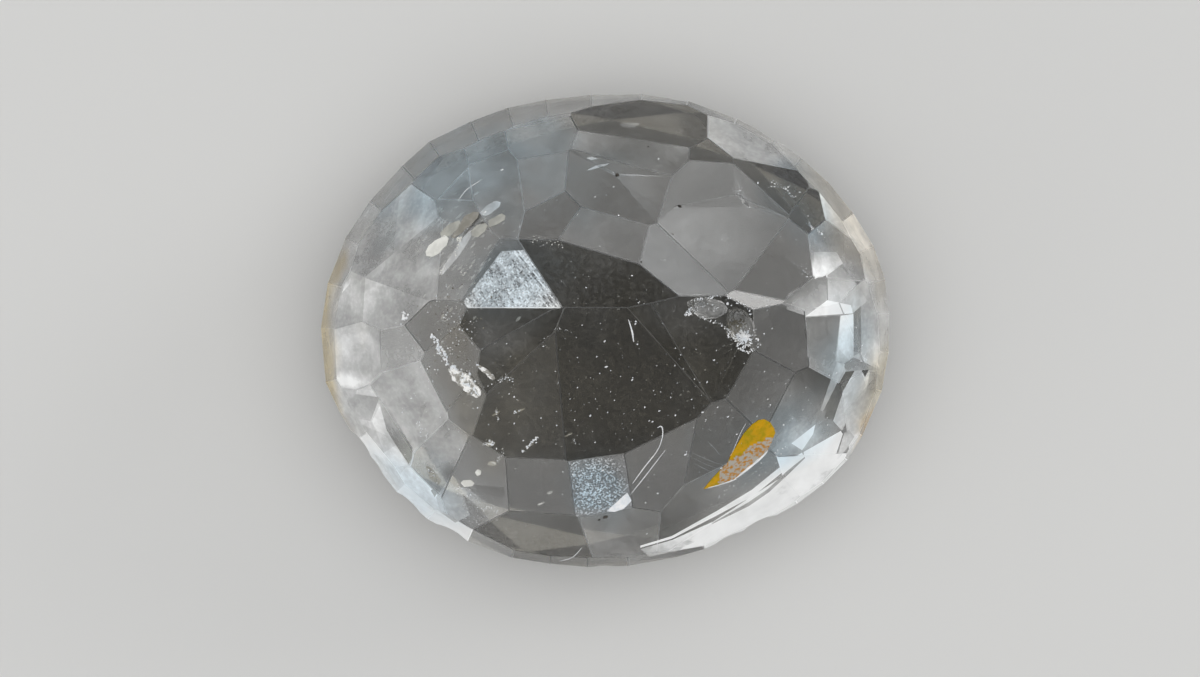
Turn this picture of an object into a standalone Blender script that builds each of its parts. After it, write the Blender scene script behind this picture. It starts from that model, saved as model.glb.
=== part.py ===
"""A white sapphire, cut as an uneven oval, lying on its table with its pavilion up.

The stone is made the way a cutter makes one. A sawn block loses what lies past each facet's plane
in turn: the girdle's flats first, then the crown below it and the pavilion above it. Chips, pits
and one unpolished cavity are cut last.

+X is the long way of the oval, +Y is across it and +Z is up. The origin is the middle of the table.
Lengths are in millimetres and angles in degrees, until the finished stone is scaled to metres.
"""

import math
import random

import bmesh
import bpy
from mathutils import Euler, Matrix, Vector, noise

MM = 0.001

# The whole stone.
LENGTH = 13.0
WIDTH = 10.86
DEPTH = 7.0
OVAL_TURN = 3.4

# The girdle: its height above the table, its thickness, and the lean of the narrow facets over it.
GIRDLE_LOW = 1.65
GIRDLE_HIGH = 2.0
BEVEL_LEAN = 16

# The crown has this many main facets, and a table that takes this share of the oval.
CROWN_MAINS = 8
TABLE_SHARE = 0.6
STAR_RISE = 2.3
HAND_TURN = 1.2
HAND_RISE = 0.03

# Where the long facets of the culet come together, east and north of the oval's middle.
APEX = (-1.03, 0.57)

# What the saw leaves to be ground away, and how near a plane counts as on it.
SPARE = 2.0
ON_PLANE = 0.001

# Corners of the girdle: the azimuth, then how far inside the plain oval.
GIRDLE_CORNERS = (
    (4, 0.04), (11, 0.01), (18, 0.01), (26, 0.05), (34, 0.04), (42, 0.04), (49, 0.0),
    (59, -0.01), (71, -0.07), (82, -0.06), (94, -0.04), (105, -0.06), (114, -0.11),
    (123, -0.13), (133, -0.2), (141, -0.13), (151, -0.1), (160, -0.1), (170, -0.09),
    (179, -0.08), (190, -0.08), (196, 0.02), (203, 0.09), (217, 0.05), (226, 0.0),
    (236, 0.01), (247, 0.0), (256, 0.05), (265, 0.06), (275, 0.07), (287, 0.1),
    (294, 0.11), (312, 0.11), (318, 0.04), (325, -0.02), (332, -0.06), (338, -0.03),
    (348, -0.01), (356, 0.03),
)

# Each pavilion facet: the point to the east and north that it is ground down to, on the surface
# that the facets before it have left, then its slope and the azimuth that it faces.
PAVILION = {
    "culet south": (*APEX, 30, 275),
    "culet north": (*APEX, 26.5, 84),
    "frosted": (*APEX, 24, 153),
    "culet west": (*APEX, 25.5, 214),
    "culet south west": (-2.0, 0.11, 28, 236),
    "wedge": (-1.1, -1.08, 31.5, 255),
    "culet east": (0.46, 0.54, 25.5, 298),
    "east fan": (1.98, -0.99, 25.5, 305),
    "culet north east": (1.07, 1.25, 38.5, 71),
    "north 1": (-0.14, 1.8, 38.5, 80),
    "north 2": (-1.35, 2.1, 40, 86),
    "north east 1": (1.87, 1.75, 44.5, 66),
    "north 3": (0.05, 2.67, 44.5, 79),
    "north 4": (0.34, 3.86, 48, 78.5),
    "north 5": (-1.33, 3.03, 44.5, 91),
    "north 6": (-1.33, 4.06, 50, 92.5),
    "north east 2": (3.65, 2.0, 44, 43),
    "east 1": (3.36, 0.86, 36, 28),
    "east 2": (3.29, 0.06, 41, 334),
    "east 3": (2.97, -0.97, 42, 317),
    "east 4": (4.06, -1.26, 50, 321),
    "east 5": (4.5, -0.05, 50, 343),
    "east 6": (3.97, 0.7, 46, 17),
    "north east 3": (4.61, 1.71, 51, 34),
    "north east 4": (4.29, 2.46, 51, 45),
    "north east 5": (3.52, 3.24, 51, 62),
    "north east 6": (2.26, 3.9, 49, 69),
    "south 1": (-0.32, -2.84, 40.5, 276),
    "south 2": (-1.55, -2.86, 42, 259),
    "south 3": (1.07, -2.4, 40.5, 282),
    "south 4": (2.15, -1.79, 44, 294.5),
    "wedge foot": (-2.69, -2.58, 44, 248),
    "south west 1": (-2.88, -1.76, 33.5, 229),
    "south west 2": (-3.38, -2.15, 45, 230),
    "south west 3": (-3.47, -1.56, 34.5, 216),
    "south west 4": (-3.84, -1.42, 45.5, 213),
    "south west 5": (-4.82, -2.1, 50.5, 213),
    "west 1": (-3.36, 0.18, 39, 186),
    "north west 1": (-2.79, 1.57, 42, 151),
    "west 2": (-4.18, -0.39, 44.5, 192),
    "north west 2": (-2.65, 2.3, 45.5, 135),
    "north west 3": (-2.0, 3.49, 45, 111),
    "north west 4": (-2.7, 4.0, 50, 111),
    "north west 5": (-3.1, 3.26, 48.5, 129),
    "north west 6": (-3.65, 3.26, 52.5, 130),
    "north west 7": (-3.83, 1.43, 45.5, 154),
    "north west 8": (-4.63, 2.0, 51.5, 149),
    "west 3": (-4.17, 0.75, 46, 172),
    "west 4": (-5.54, 0.98, 52.5, 173),
    "west 5": (-5.16, -0.62, 50.5, 190),
    "south west 6": (-5.77, -1.4, 53.5, 204),
    "south rim 1": (-1.55, -4.1, 51, 261),
    "south rim 2": (0.05, -4.07, 48, 277),
    "south rim 3": (2.22, -3.22, 51.5, 295),
    "south rim 4": (2.9, -4.0, 55, 296),
    "east rim 1": (4.5, -2.79, 54, 313),
    "east rim 2": (5.3, -1.19, 56, 332),
    "east rim 3": (5.57, -0.05, 56, 352),
    "north rim 1": (4.93, 2.7, 57, 38),
    "north rim 2": (4.73, 3.26, 57, 50),
    "north rim 3": (3.05, 3.95, 56, 65),
    "north rim 4": (0.55, 4.42, 54, 79),
    "north rim 5": (-0.94, 4.93, 54.5, 94),
    "south west rim": (-4.29, -3.25, 56, 228),
}

# Shallow chips along the girdle: the azimuth, and the distance from the middle that is left there.
GIRDLE_CHIPS = {
    "chip_north_east": (51.5, 5.785),
    "chip_north": (74.5, 5.55),
    "chip_south_west_1": (206.3, 6.11),
    "chip_south_west_2": (210.7, 6.07),
    "chip_south_west_3": (221.7, 5.935),
    "chip_south_west_4": (233.5, 5.73),
    "chip_south": (269.5, 5.33),
    "chip_south_east_1": (299.5, 5.4),
    "chip_south_east_2": (306.3, 5.48),
}
CHIP_RADIUS = 1.25

# Hollows in the pavilion: how far east and north, length, width, depth, and the azimuth of the length.
HOLLOWS = {
    "cavity_wide": (2.3, 0.53, 1.1, 0.5, 0.18, -16),
    "cavity_deep": (3.03, 0.08, 1.12, 0.6, 0.24, -62),
    "pit_north_east_1": (3.0, 3.1, 0.24, 0.1, 0.05, -30),
    "pit_north_east_2": (3.14, 2.93, 0.26, 0.12, 0.05, -48),
    "pit_north_1": (0.21, 3.58, 0.13, 0.12, 0.04, 0),
    "pit_north_2": (1.63, 2.87, 0.14, 0.12, 0.04, 0),
}
ROUGHNESS = 0.22
ROUGH_SCALE = 3.0


def level_direction(azimuth):
    """Level direction towards an azimuth, counted from +X towards +Y."""
    azimuth = math.radians(azimuth)
    return Vector((math.cos(azimuth), math.sin(azimuth), 0))


def oval_reach(azimuth):
    """Distance from the middle of the stone to the plain oval, towards an azimuth."""
    level = level_direction(azimuth - OVAL_TURN)
    return 1 / math.hypot(level.x / (LENGTH / 2), level.y / (WIDTH / 2))


def grind(gem, point, outward):
    """Takes off what is past a plane, and closes the cut with one flat face."""
    parts = gem.verts[:] + gem.edges[:] + gem.faces[:]
    cut = bmesh.ops.bisect_plane(
        gem, geom=parts, dist=ON_PLANE, plane_co=point, plane_no=outward, clear_outer=True
    )
    rim = [part for part in cut["geom_cut"] if isinstance(part, bmesh.types.BMEdge)]
    if rim:
        bmesh.ops.contextual_create(gem, geom=rim)


def sawn_block():
    """The block that the stone is ground from, standing on the table's plane."""
    gem = bmesh.new()
    bmesh.ops.create_cube(gem, size=1)
    bmesh.ops.scale(gem, vec=Vector((LENGTH + SPARE, WIDTH + SPARE, DEPTH)), verts=gem.verts)
    bmesh.ops.translate(gem, vec=Vector((0, 0, DEPTH / 2)), verts=gem.verts)
    return gem


def grind_girdle(gem):
    """The upright flats of the girdle, and the narrow leaning facet above each of them."""
    corners = [
        level_direction(azimuth) * (oval_reach(azimuth) - inside) for azimuth, inside in GIRDLE_CORNERS
    ]
    lean = math.radians(BEVEL_LEAN)
    top = Vector((0, 0, GIRDLE_HIGH))
    for start, end in zip(corners, corners[1:] + corners[:1]):
        along = (end - start).normalized()
        out = Vector((along.y, -along.x, 0))
        grind(gem, start, out)
        grind(gem, start + top, out * math.cos(lean) + Vector((0, 0, math.sin(lean))))


def grind_crown_facet(gem, azimuth, rise, meet_azimuth, meet_share, meet_height):
    """A facet of the crown.

    The crown is laid out on a round stone and then stretched to the oval, which keeps its facets
    flat. The facet rises by so many millimetres from the middle of the stone to its girdle.
    """
    facing = level_direction(azimuth)
    meet = level_direction(meet_azimuth) * meet_share
    turn = Matrix.Rotation(math.radians(OVAL_TURN), 3, "Z")
    point = turn @ Vector((meet.x * LENGTH / 2, meet.y * WIDTH / 2, meet_height))
    outward = turn @ Vector((rise * facing.x * 2 / LENGTH, rise * facing.y * 2 / WIDTH, -1))
    grind(gem, point, outward.normalized())


def grind_crown(gem):
    """The crown under the girdle: pairs of break facets, mains and stars around the table."""
    hand = random.Random(7)
    step = 360 / CROWN_MAINS
    main_rise = GIRDLE_LOW / (1 - TABLE_SHARE)
    table_side = TABLE_SHARE * math.cos(math.radians(step / 2))
    main_along = main_rise * math.cos(math.radians(step / 2))
    tip_share = (GIRDLE_LOW - main_rise + STAR_RISE * table_side) / (STAR_RISE - main_along)
    tip_height = STAR_RISE * (tip_share - table_side)
    break_rise = (GIRDLE_LOW - tip_height) / (1 - tip_share) / math.cos(math.radians(step / 4))

    def by_hand(azimuth, rise):
        turned = azimuth + hand.uniform(-HAND_TURN, HAND_TURN)
        return turned, rise * hand.uniform(1 - HAND_RISE, 1 + HAND_RISE)

    for number in range(CROWN_MAINS):
        main = number * step
        for side in (-step / 4, step / 4):
            grind_crown_facet(gem, *by_hand(main + side, break_rise), main, 1, GIRDLE_LOW)
    for number in range(CROWN_MAINS):
        main = number * step
        grind_crown_facet(gem, *by_hand(main, main_rise), main, 1, GIRDLE_LOW)
    for number in range(CROWN_MAINS):
        star = (number + 0.5) * step
        grind_crown_facet(gem, *by_hand(star, STAR_RISE), star, table_side, 0)


def height_over(planes, east, north):
    """Height of the pavilion so far, above a point of the table's plane."""
    heights = [DEPTH]
    for meet, outward in planes:
        run = (east - meet.x) * outward.x + (north - meet.y) * outward.y
        heights.append(meet.z - run / outward.z)
    return min(heights)


def grind_pavilion(gem):
    """Grinds each facet down to its meet point, and gives back the planes of them all."""
    planes = []
    for east, north, slope, azimuth in PAVILION.values():
        slope = math.radians(slope)
        outward = level_direction(azimuth) * math.sin(slope) + Vector((0, 0, math.cos(slope)))
        meet = Vector((east, north, height_over(planes, east, north)))
        planes.append((meet, outward))
        grind(gem, meet, outward)
    return planes


def add_object(name, gem, collection):
    """Scales a mesh to metres and links it as an object."""
    gem.transform(Matrix.Scale(MM, 4))
    bmesh.ops.recalc_face_normals(gem, faces=gem.faces)
    mesh = bpy.data.meshes.new(name)
    gem.to_mesh(mesh)
    gem.free()
    thing = bpy.data.objects.new(name, mesh)
    collection.objects.link(thing)
    return thing


def chip_cutter(name, azimuth, left, cutters):
    """An upright round cutter whose side stands this far from the middle of the stone."""
    cutter = bmesh.new()
    bmesh.ops.create_cone(
        cutter, cap_ends=True, segments=72, radius1=CHIP_RADIUS, radius2=CHIP_RADIUS, depth=DEPTH
    )
    place = level_direction(azimuth) * (left + CHIP_RADIUS)
    bmesh.ops.translate(cutter, vec=place, verts=cutter.verts)
    return add_object(name, cutter, cutters)


def hollow_cutter(name, place, height, cutters):
    """A lumpy ball, flattened and turned, with its middle on the surface that it cuts."""
    east, north, length, width, depth, azimuth = place
    cutter = bmesh.new()
    bmesh.ops.create_icosphere(cutter, subdivisions=3, radius=1)
    for vert in cutter.verts:
        lump = noise.noise(vert.co * ROUGH_SCALE + Vector((east, north, 0)))
        vert.co *= 1 + ROUGHNESS * lump
    size = Matrix.Diagonal((length / 2, width / 2, depth, 1))
    turn = Euler((0, 0, math.radians(azimuth))).to_matrix().to_4x4()
    cutter.transform(Matrix.Translation((east, north, height)) @ turn @ size)
    return add_object(name, cutter, cutters)


def cut(stone, cutter):
    """Cuts a cutter out of the stone, and keeps the cutter out of the render."""
    cutter.hide_render = True
    cutter.display_type = "WIRE"
    boolean = stone.modifiers.new(cutter.name, "BOOLEAN")
    boolean.operation = "DIFFERENCE"
    boolean.solver = "EXACT"
    boolean.object = cutter


def clear_stone():
    """Colourless corundum with a trace of warm grey."""
    material = bpy.data.materials.new("clear_sapphire")
    material.use_nodes = True
    shader = material.node_tree.nodes["Principled BSDF"]
    shader.inputs["Base Color"].default_value = (0.82, 0.83, 0.82, 1)
    shader.inputs["Roughness"].default_value = 0.04
    shader.inputs["Metallic"].default_value = 0
    shader.inputs["IOR"].default_value = 1.77
    shader.inputs["Transmission Weight"].default_value = 1
    return material


def new_collection(name):
    """A collection of its own in the scene."""
    collection = bpy.data.collections.new(name)
    bpy.context.scene.collection.children.link(collection)
    return collection


def main():
    for thing in list(bpy.data.objects):
        bpy.data.objects.remove(thing)
    parts = new_collection("white_sapphire")
    cutters = new_collection("cutters")

    gem = sawn_block()
    grind_girdle(gem)
    grind_crown(gem)
    planes = grind_pavilion(gem)
    stone = add_object("white_sapphire", gem, parts)
    stone.data.materials.append(clear_stone())

    for name, (azimuth, left) in GIRDLE_CHIPS.items():
        cut(stone, chip_cutter(name, azimuth, left, cutters))
    for name, place in HOLLOWS.items():
        height = height_over(planes, place[0], place[1])
        cut(stone, hollow_cutter(name, place, height, cutters))


main()
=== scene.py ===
# %% [markdown]
# A white sapphire, lying on its table with its pavilion up
#
# The stone is a hand-cut oval of corundum, about 13 mm long. It was ground facet by facet, so no two facets
# are alike. Its looks come from four things: clear stone with a trace of grey, a polish that gets hazier
# towards the girdle, worn edges, and what grew or broke inside it. Light and shade are also painted on: the
# grey darkens the thick middle as shade would, the middle is tinted darker, and the haze of the facets also
# carries painted glare, glows, bright lines and dark places. The imported model gives the shape. This
# script gives it those finishes, and the small pieces that lie inside.

# %% Load the imported stone
import math
import random

import bmesh
import bpy
from mathutils import Matrix, Vector, noise
from mathutils.bvhtree import BVHTree


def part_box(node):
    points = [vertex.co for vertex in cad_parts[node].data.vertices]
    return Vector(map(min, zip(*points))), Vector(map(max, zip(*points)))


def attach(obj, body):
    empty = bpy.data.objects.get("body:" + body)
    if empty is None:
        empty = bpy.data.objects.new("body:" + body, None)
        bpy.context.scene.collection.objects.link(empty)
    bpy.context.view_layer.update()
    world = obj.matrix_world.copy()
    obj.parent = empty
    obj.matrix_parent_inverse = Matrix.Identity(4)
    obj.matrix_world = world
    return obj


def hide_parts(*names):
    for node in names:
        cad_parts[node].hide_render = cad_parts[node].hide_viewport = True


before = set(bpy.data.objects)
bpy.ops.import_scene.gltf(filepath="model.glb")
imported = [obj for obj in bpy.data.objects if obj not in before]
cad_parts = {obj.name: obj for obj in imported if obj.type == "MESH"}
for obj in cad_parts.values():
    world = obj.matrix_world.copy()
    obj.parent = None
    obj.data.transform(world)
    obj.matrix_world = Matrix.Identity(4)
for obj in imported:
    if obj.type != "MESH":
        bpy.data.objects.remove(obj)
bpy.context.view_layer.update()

MM = 0.001
cut_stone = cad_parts["white_sapphire"]
stone_low, stone_high = (Vector(corner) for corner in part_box("white_sapphire"))
print("stone, mm:", [round(side / MM, 2) for side in stone_high - stone_low])

# %% [markdown]
# The camera looks straight down on the pavilion, from far away and through a long lens, as a
# photographer of loose stones works. So the girdle shows as its true oval. The picture is a little
# over twice as wide as the stone is long, and the stone sits slightly left of the middle and above it.

# %% The camera above the stone
VIEW_WIDTH = 27.4 * MM
VIEW_MIDDLE = Vector((-0.18, -0.13, 3.0)) * MM
LENS = 400
FILM = 36

camera_data = bpy.data.cameras.new("camera")
camera_data.lens = LENS
camera_data.sensor_width = FILM
camera_data.clip_start = 0.01
camera_data.clip_end = 10
camera = bpy.data.objects.new("camera", camera_data)
camera.location = VIEW_MIDDLE + Vector((0, 0, VIEW_WIDTH / FILM * LENS))
bpy.context.scene.collection.objects.link(camera)
bpy.context.scene.camera = camera
bpy.context.scene.view_settings.view_transform = "Standard"
print("camera height, mm:", round(camera.location.z / MM))

# %% [markdown]
# The floor is a plain pale sheet. It could be a curved sweep, but seen from above a level sheet does
# the same. It lies a hair below the table, so the two don't fight for the same place.

# %% The floor
FLOOR_SIDE = 3.0
FLOOR_GAP = 0.02 * MM
FLOOR_PALE = (0.72, 0.72, 0.71, 1)
FLOOR_ROUGH = 0.6


def principled(name):
    """A new node material, its tree and its main shader."""
    material = bpy.data.materials.new(name)
    material.use_nodes = True
    tree = material.node_tree
    return material, tree, tree.nodes["Principled BSDF"]


def add_piece(name, mesh_maker, *materials):
    """Turns a bmesh into an object with its materials."""
    mesh = bpy.data.meshes.new(name)
    mesh_maker.to_mesh(mesh)
    mesh_maker.free()
    for material in materials:
        mesh.materials.append(material)
    piece = bpy.data.objects.new(name, mesh)
    bpy.context.scene.collection.objects.link(piece)
    print(name, "has", len(mesh.polygons), "faces")
    return piece


sheet_material, sheet_tree, sheet_shader = principled("pale_sheet")
sheet_shader.inputs["Base Color"].default_value = FLOOR_PALE
sheet_shader.inputs["Roughness"].default_value = FLOOR_ROUGH
sheet = bmesh.new()
bmesh.ops.create_grid(sheet, x_segments=1, y_segments=1, size=FLOOR_SIDE / 2)
floor = add_piece("floor", sheet, sheet_material)
floor.location.z = -FLOOR_GAP

# %% [markdown]
# A cut stone is a set of small mirrors, so what it shows is its surroundings. A facet of 40 degrees
# mirrors the sky near the horizon, one of 25 degrees mirrors it half way up, and none mirrors the
# top. So the light is a sky with a bright top that lights the floor, a dark belt half way up that
# keeps the flat facets of the culet deep, and a bright belt low down. Three soft boxes, east, west
# and north of the stone, are added to it, and a black card in the south east takes some light away.
# A world does this for every view, and area lamps would show as hard squares.

# %% The soft studio light
SKY_BELTS = ((0, 1.0), (18, 0.87), (28, 0.2), (42, 0.15), (52, 0.72), (90, 0.72))
SKY_STRENGTH = 1.5
# Each soft box or black card: azimuth, elevation, half its width, strength and colour.
SOFT_BOXES = {
    "box_east": (26, 17, 13, 3.2, (1.0, 0.99, 0.97)),
    "box_west": (196, 12, 26, 0.5, (1.0, 0.97, 0.92)),
    "box_north": (64, 13, 12, 0.8, (0.9, 0.96, 1.0)),
    "card_south_east": (312, 4, 24, -0.45, (1.0, 1.0, 1.0)),
}
# A box is at full strength within the first share of its half width, and gone beyond the second.
BOX_FULL = 0.65
BOX_GONE = 1.35


def towards(azimuth, elevation):
    """Direction at an azimuth from east through north, and an elevation above the floor."""
    azimuth, elevation = math.radians(azimuth), math.radians(elevation)
    level = math.cos(elevation)
    return Vector((math.cos(azimuth) * level, math.sin(azimuth) * level, math.sin(elevation)))


def node(tree, kind, **settings):
    """Adds a shader node and sets its properties."""
    new = tree.nodes.new(kind)
    for key, value in settings.items():
        setattr(new, key, value)
    return new


def feed(tree, socket, value):
    """Links an input to another node's output, or sets it to a value."""
    if isinstance(value, bpy.types.NodeSocket):
        tree.links.new(value, socket)
    else:
        socket.default_value = value


def math_node(tree, operation, *values, clamp=False):
    """A Math node fed with sockets or numbers, and its output."""
    new = node(tree, "ShaderNodeMath", operation=operation, use_clamp=clamp)
    for socket, value in zip(new.inputs, values):
        feed(tree, socket, value)
    return new.outputs[0]


def vector_node(tree, operation, first, second):
    """A Vector Math node fed with two sockets or values, and its output."""
    new = node(tree, "ShaderNodeVectorMath", operation=operation)
    feed(tree, new.inputs[0], first)
    feed(tree, new.inputs["Scale" if operation == "SCALE" else 1], second)
    return new.outputs["Value" if operation == "DOT_PRODUCT" else "Vector"]


def stretch(tree, value, from_low, from_high, to_low, to_high):
    """Maps a range of a value smoothly onto another range."""
    new = node(tree, "ShaderNodeMapRange", interpolation_type="SMOOTHSTEP")
    tree.links.new(value, new.inputs["Value"])
    bounds = {"From Min": from_low, "From Max": from_high, "To Min": to_low, "To Max": to_high}
    for key, number in bounds.items():
        new.inputs[key].default_value = number
    return new.outputs[0]


def soft_sky():
    """The world: belts of light by elevation, with the soft boxes and the card added to them."""
    world = bpy.data.worlds.new("studio")
    world.use_nodes = True
    bpy.context.scene.world = world
    tree = world.node_tree
    background = tree.nodes["Background"]
    direction = node(tree, "ShaderNodeTexCoord").outputs["Generated"]
    split = node(tree, "ShaderNodeSeparateXYZ")
    tree.links.new(direction, split.inputs[0])
    belts = node(tree, "ShaderNodeValToRGB")
    tree.links.new(split.outputs["Z"], belts.inputs[0])
    ramp = belts.color_ramp
    while len(ramp.elements) < len(SKY_BELTS):
        ramp.elements.new(0.5)
    for element, (elevation, _) in zip(ramp.elements, SKY_BELTS):
        element.position = math.sin(math.radians(elevation))
    for element, (_, light) in zip(ramp.elements, SKY_BELTS):
        element.color = (light, light, light, 1)
    total = belts.outputs[0]
    for azimuth, elevation, half_width, strength, colour in SOFT_BOXES.values():
        near = vector_node(tree, "DOT_PRODUCT", direction, towards(azimuth, elevation))
        gone = math.cos(math.radians(half_width * BOX_GONE))
        full = math.cos(math.radians(half_width * BOX_FULL))
        lit = stretch(tree, near, gone, full, 0, strength / SKY_STRENGTH)
        total = vector_node(tree, "ADD", total, vector_node(tree, "SCALE", colour, lit))
    tree.links.new(total, background.inputs["Color"])
    background.inputs["Strength"].default_value = SKY_STRENGTH


soft_sky()
print("soft boxes and cards:", len(SOFT_BOXES))

# %% [markdown]
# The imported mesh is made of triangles, and a facet should be one flat face. Merging its doubled
# points and dissolving the edges between triangles that lie in one plane gives each facet back
# whole. Rays cast down from above then find the facet under any place, so a finish can be given by
# where it is on the stone.

# %% Give the facets back as whole faces
SAME_POINT = 0.001 * MM
SAME_PLANE = math.radians(0.3)
HIGH_ABOVE = 20 * MM


def whole_facets():
    """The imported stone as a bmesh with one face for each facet."""
    gem = bmesh.new()
    gem.from_mesh(cut_stone.data)
    bmesh.ops.remove_doubles(gem, verts=gem.verts, dist=SAME_POINT)
    bmesh.ops.dissolve_limit(gem, angle_limit=SAME_PLANE, verts=gem.verts, edges=gem.edges)
    gem.normal_update()
    gem.faces.ensure_lookup_table()
    return gem


def under(tree, east, north):
    """Place, outward direction and number of the face straight below a place, given in mm."""
    start = Vector((east * MM, north * MM, HIGH_ABOVE))
    place, outward, number, _ = tree.ray_cast(start, Vector((0, 0, -1)))
    return place, outward, number


def saw(mesh_maker, faces, place, across, snap=SAME_POINT):
    """Cuts faces along the plane through a place, and gives back every part of them."""
    parts = set(faces)
    for face in faces:
        parts.update(face.edges)
        parts.update(face.verts)
    cut = bmesh.ops.bisect_plane(
        mesh_maker, geom=list(parts), dist=snap, plane_co=place, plane_no=across
    )
    return cut["geom"]


gem = whole_facets()
facet_tree = BVHTree.FromBMesh(gem)
print("facets:", len(gem.faces))


def facet_at(east, north):
    """Number of the whole facet straight below a place."""
    return under(facet_tree, east, north)[2]

# %% [markdown]
# The polish. A cutter works the culet with care and the girdle with less, and years of wear do the rest, so
# the facets near the middle are clear and those near the girdle are hazy. Haze is stored on each face as a
# number from 0, clear, to 1, ground white. This is a first value, and the corners of the faces get theirs
# further on. It comes from the facet's slope, which grows outwards, or from the azimuth for the narrow
# facets over the girdle. Facets that neither fits are listed by a place on them. Most numbers of the two
# lists come from a program that compared each facet's brightness in the photo and in a render. They were
# then rounded and adjusted.
# So these values are part haze and part painted light: where glare set a facet's brightness, as on the
# bright rims and the narrow facets in the south east, its haze is a painted highlight.

# %% How hazy each facet is, with painted glare
HAZE_BY_SLOPE = (
    (20, 0.0), (38, 0.01), (46, 0.06), (52, 0.15), (60, 0.3), (100, 0.3), (115, 0.06), (180, 0.03),
)
# Facets that the slope doesn't fit: a place on each, east and north of the middle, then its haze. The
# bright rims in the south east get a full haze that paints glare.
HAZE_AND_LIGHT_AT = {
    "frosted_top": (-2.2, 1.1, 0.13),
    "culet_south": (0.1, -1.4, 0.0),
    "culet_east": (1.5, -0.5, 0.0),
    "culet_north": (-0.2, 1.1, 0.01),
    "culet_west": (-2.7, 0.2, 0.035),
    "culet_south_west": (-1.9, -0.1, 0.05),
    "culet_north_east": (1.6, 1.5, 0.06),
    "east_fan": (2.4, -0.1, 0.012),
    "wedge": (-2.1, -1.9, 0.03),
    "wedge_foot": (-3.0, -3.4, 0.1),
    "north_1": (0.0, 2.2, 0.06),
    "north_2": (-1.3, 2.6, 0.0),
    "north_3": (0.0, 3.3, 0.01),
    "north_4": (0.7, 4.1, 0.13),
    "north_5": (-1.5, 3.5, 0.1),
    "north_6": (-1.5, 4.4, 0.32),
    "north_rim_west": (-1.5, 4.8, 0.17),
    "north_rim_middle": (0.7, 4.9, 0.01),
    "north_rim_bright": (3.2, 4.3, 0.27),
    "north_east_1": (2.6, 2.6, 0.09),
    "north_east_2": (4.0, 1.6, 0.0),
    "north_east_3": (5.3, 1.8, 0.25),
    "north_east_4": (4.6, 2.8, 0.0),
    "north_east_5": (3.9, 3.5, 0.0),
    "north_east_6": (2.3, 4.1, 0.0),
    "north_east_rim": (5.1, 2.7, 0.62),
    "east_1": (3.2, 0.8, 0.11),
    "east_2": (4.0, -0.1, 0.005),
    "east_3": (3.4, -1.3, 0.015),
    "east_4": (4.5, -2.0, 0.18),
    "east_5": (5.1, -0.3, 0.33),
    "east_6": (4.7, 0.8, 0.14),
    "east_rim": (5.9, 0.3, 0.32),
    "south_east_rim": (5.8, -1.5, 0.7),
    "bright_rim": (4.7, -3.1, 1.0),
    "south_1": (-0.3, -3.6, 0.12),
    "south_2": (-1.4, -3.4, 0.01),
    "south_3": (1.2, -3.2, 0.01),
    "south_4": (2.6, -2.1, 0.0),
    "south_rim_west": (-1.4, -4.7, 0.05),
    "south_rim_middle": (0.4, -4.6, 0.13),
    "south_rim_dull": (2.4, -3.7, 0.12),
    "south_rim_bright": (3.1, -4.3, 0.95),
    "south_west_1": (-3.2, -1.8, 0.13),
    "south_west_2": (-3.9, -2.8, 0.26),
    "south_west_3": (-3.5, -0.7, 0.08),
    "south_west_4": (-4.4, -1.5, 0.36),
    "south_west_5": (-5.2, -2.2, 0.48),
    "south_west_6": (-5.9, -1.5, 0.42),
    "south_west_rim": (-4.2, -3.6, 0.62),
    "west_1": (-3.8, 0.4, 0.03),
    "west_2": (-4.7, -0.4, 0.24),
    "west_3": (-5.0, 0.5, 0.47),
    "west_4": (-5.9, 0.8, 0.42),
    "west_5": (-5.7, -0.7, 0.46),
    "north_west_1": (-3.2, 1.7, 0.11),
    "north_west_2": (-3.5, 2.8, 0.17),
    "north_west_3": (-2.5, 3.1, 0.15),
    "north_west_4": (-2.8, 4.2, 0.17),
    "north_west_5": (-3.4, 3.3, 0.28),
    "north_west_6": (-3.8, 3.6, 0.19),
    "north_west_7": (-4.4, 1.5, 0.31),
    "north_west_8": (-4.9, 2.4, 0.42),
}
# The narrow facets over the girdle, by azimuth. Their full haze from 299 to 328 degrees, in the south east,
# is painted glare.
GIRDLE_HAZE_AND_GLARE = (
    (0, 0.42), (10, 0.38), (20, 0.55), (27, 0.4), (32, 0.12), (45, 0.3), (65, 0.15), (90, 0.16),
    (115, 0.14), (135, 0.12), (150, 0.2), (172, 0.36), (195, 0.48), (205, 0.75), (211, 0.95),
    (230, 1.0), (236, 0.6), (241, 0.2), (248, 0.0), (280, 0.05), (286, 0.34), (291, 0.0), (295.5, 0.1),
    (299, 1.0), (322, 1.0), (328, 0.95), (337, 0.6), (350, 0.4), (360, 0.42),
)
# Those facets are steeper than the first slope, and lean more than the second.
GIRDLE_SLOPE = 65
UPRIGHT = 89


def between(stops, value):
    """Reads a value off a list of (place, height) stops."""
    for (low, start), (high, end) in zip(stops, stops[1:]):
        if value <= high:
            return start + (end - start) * max(0, value - low) / (high - low)
    return stops[-1][1]


def slope_of(face):
    """Slope of a face in degrees: 0 faces up, 90 stands upright and 180 faces down."""
    return math.degrees(face.normal.angle(Vector((0, 0, 1))))


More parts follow.
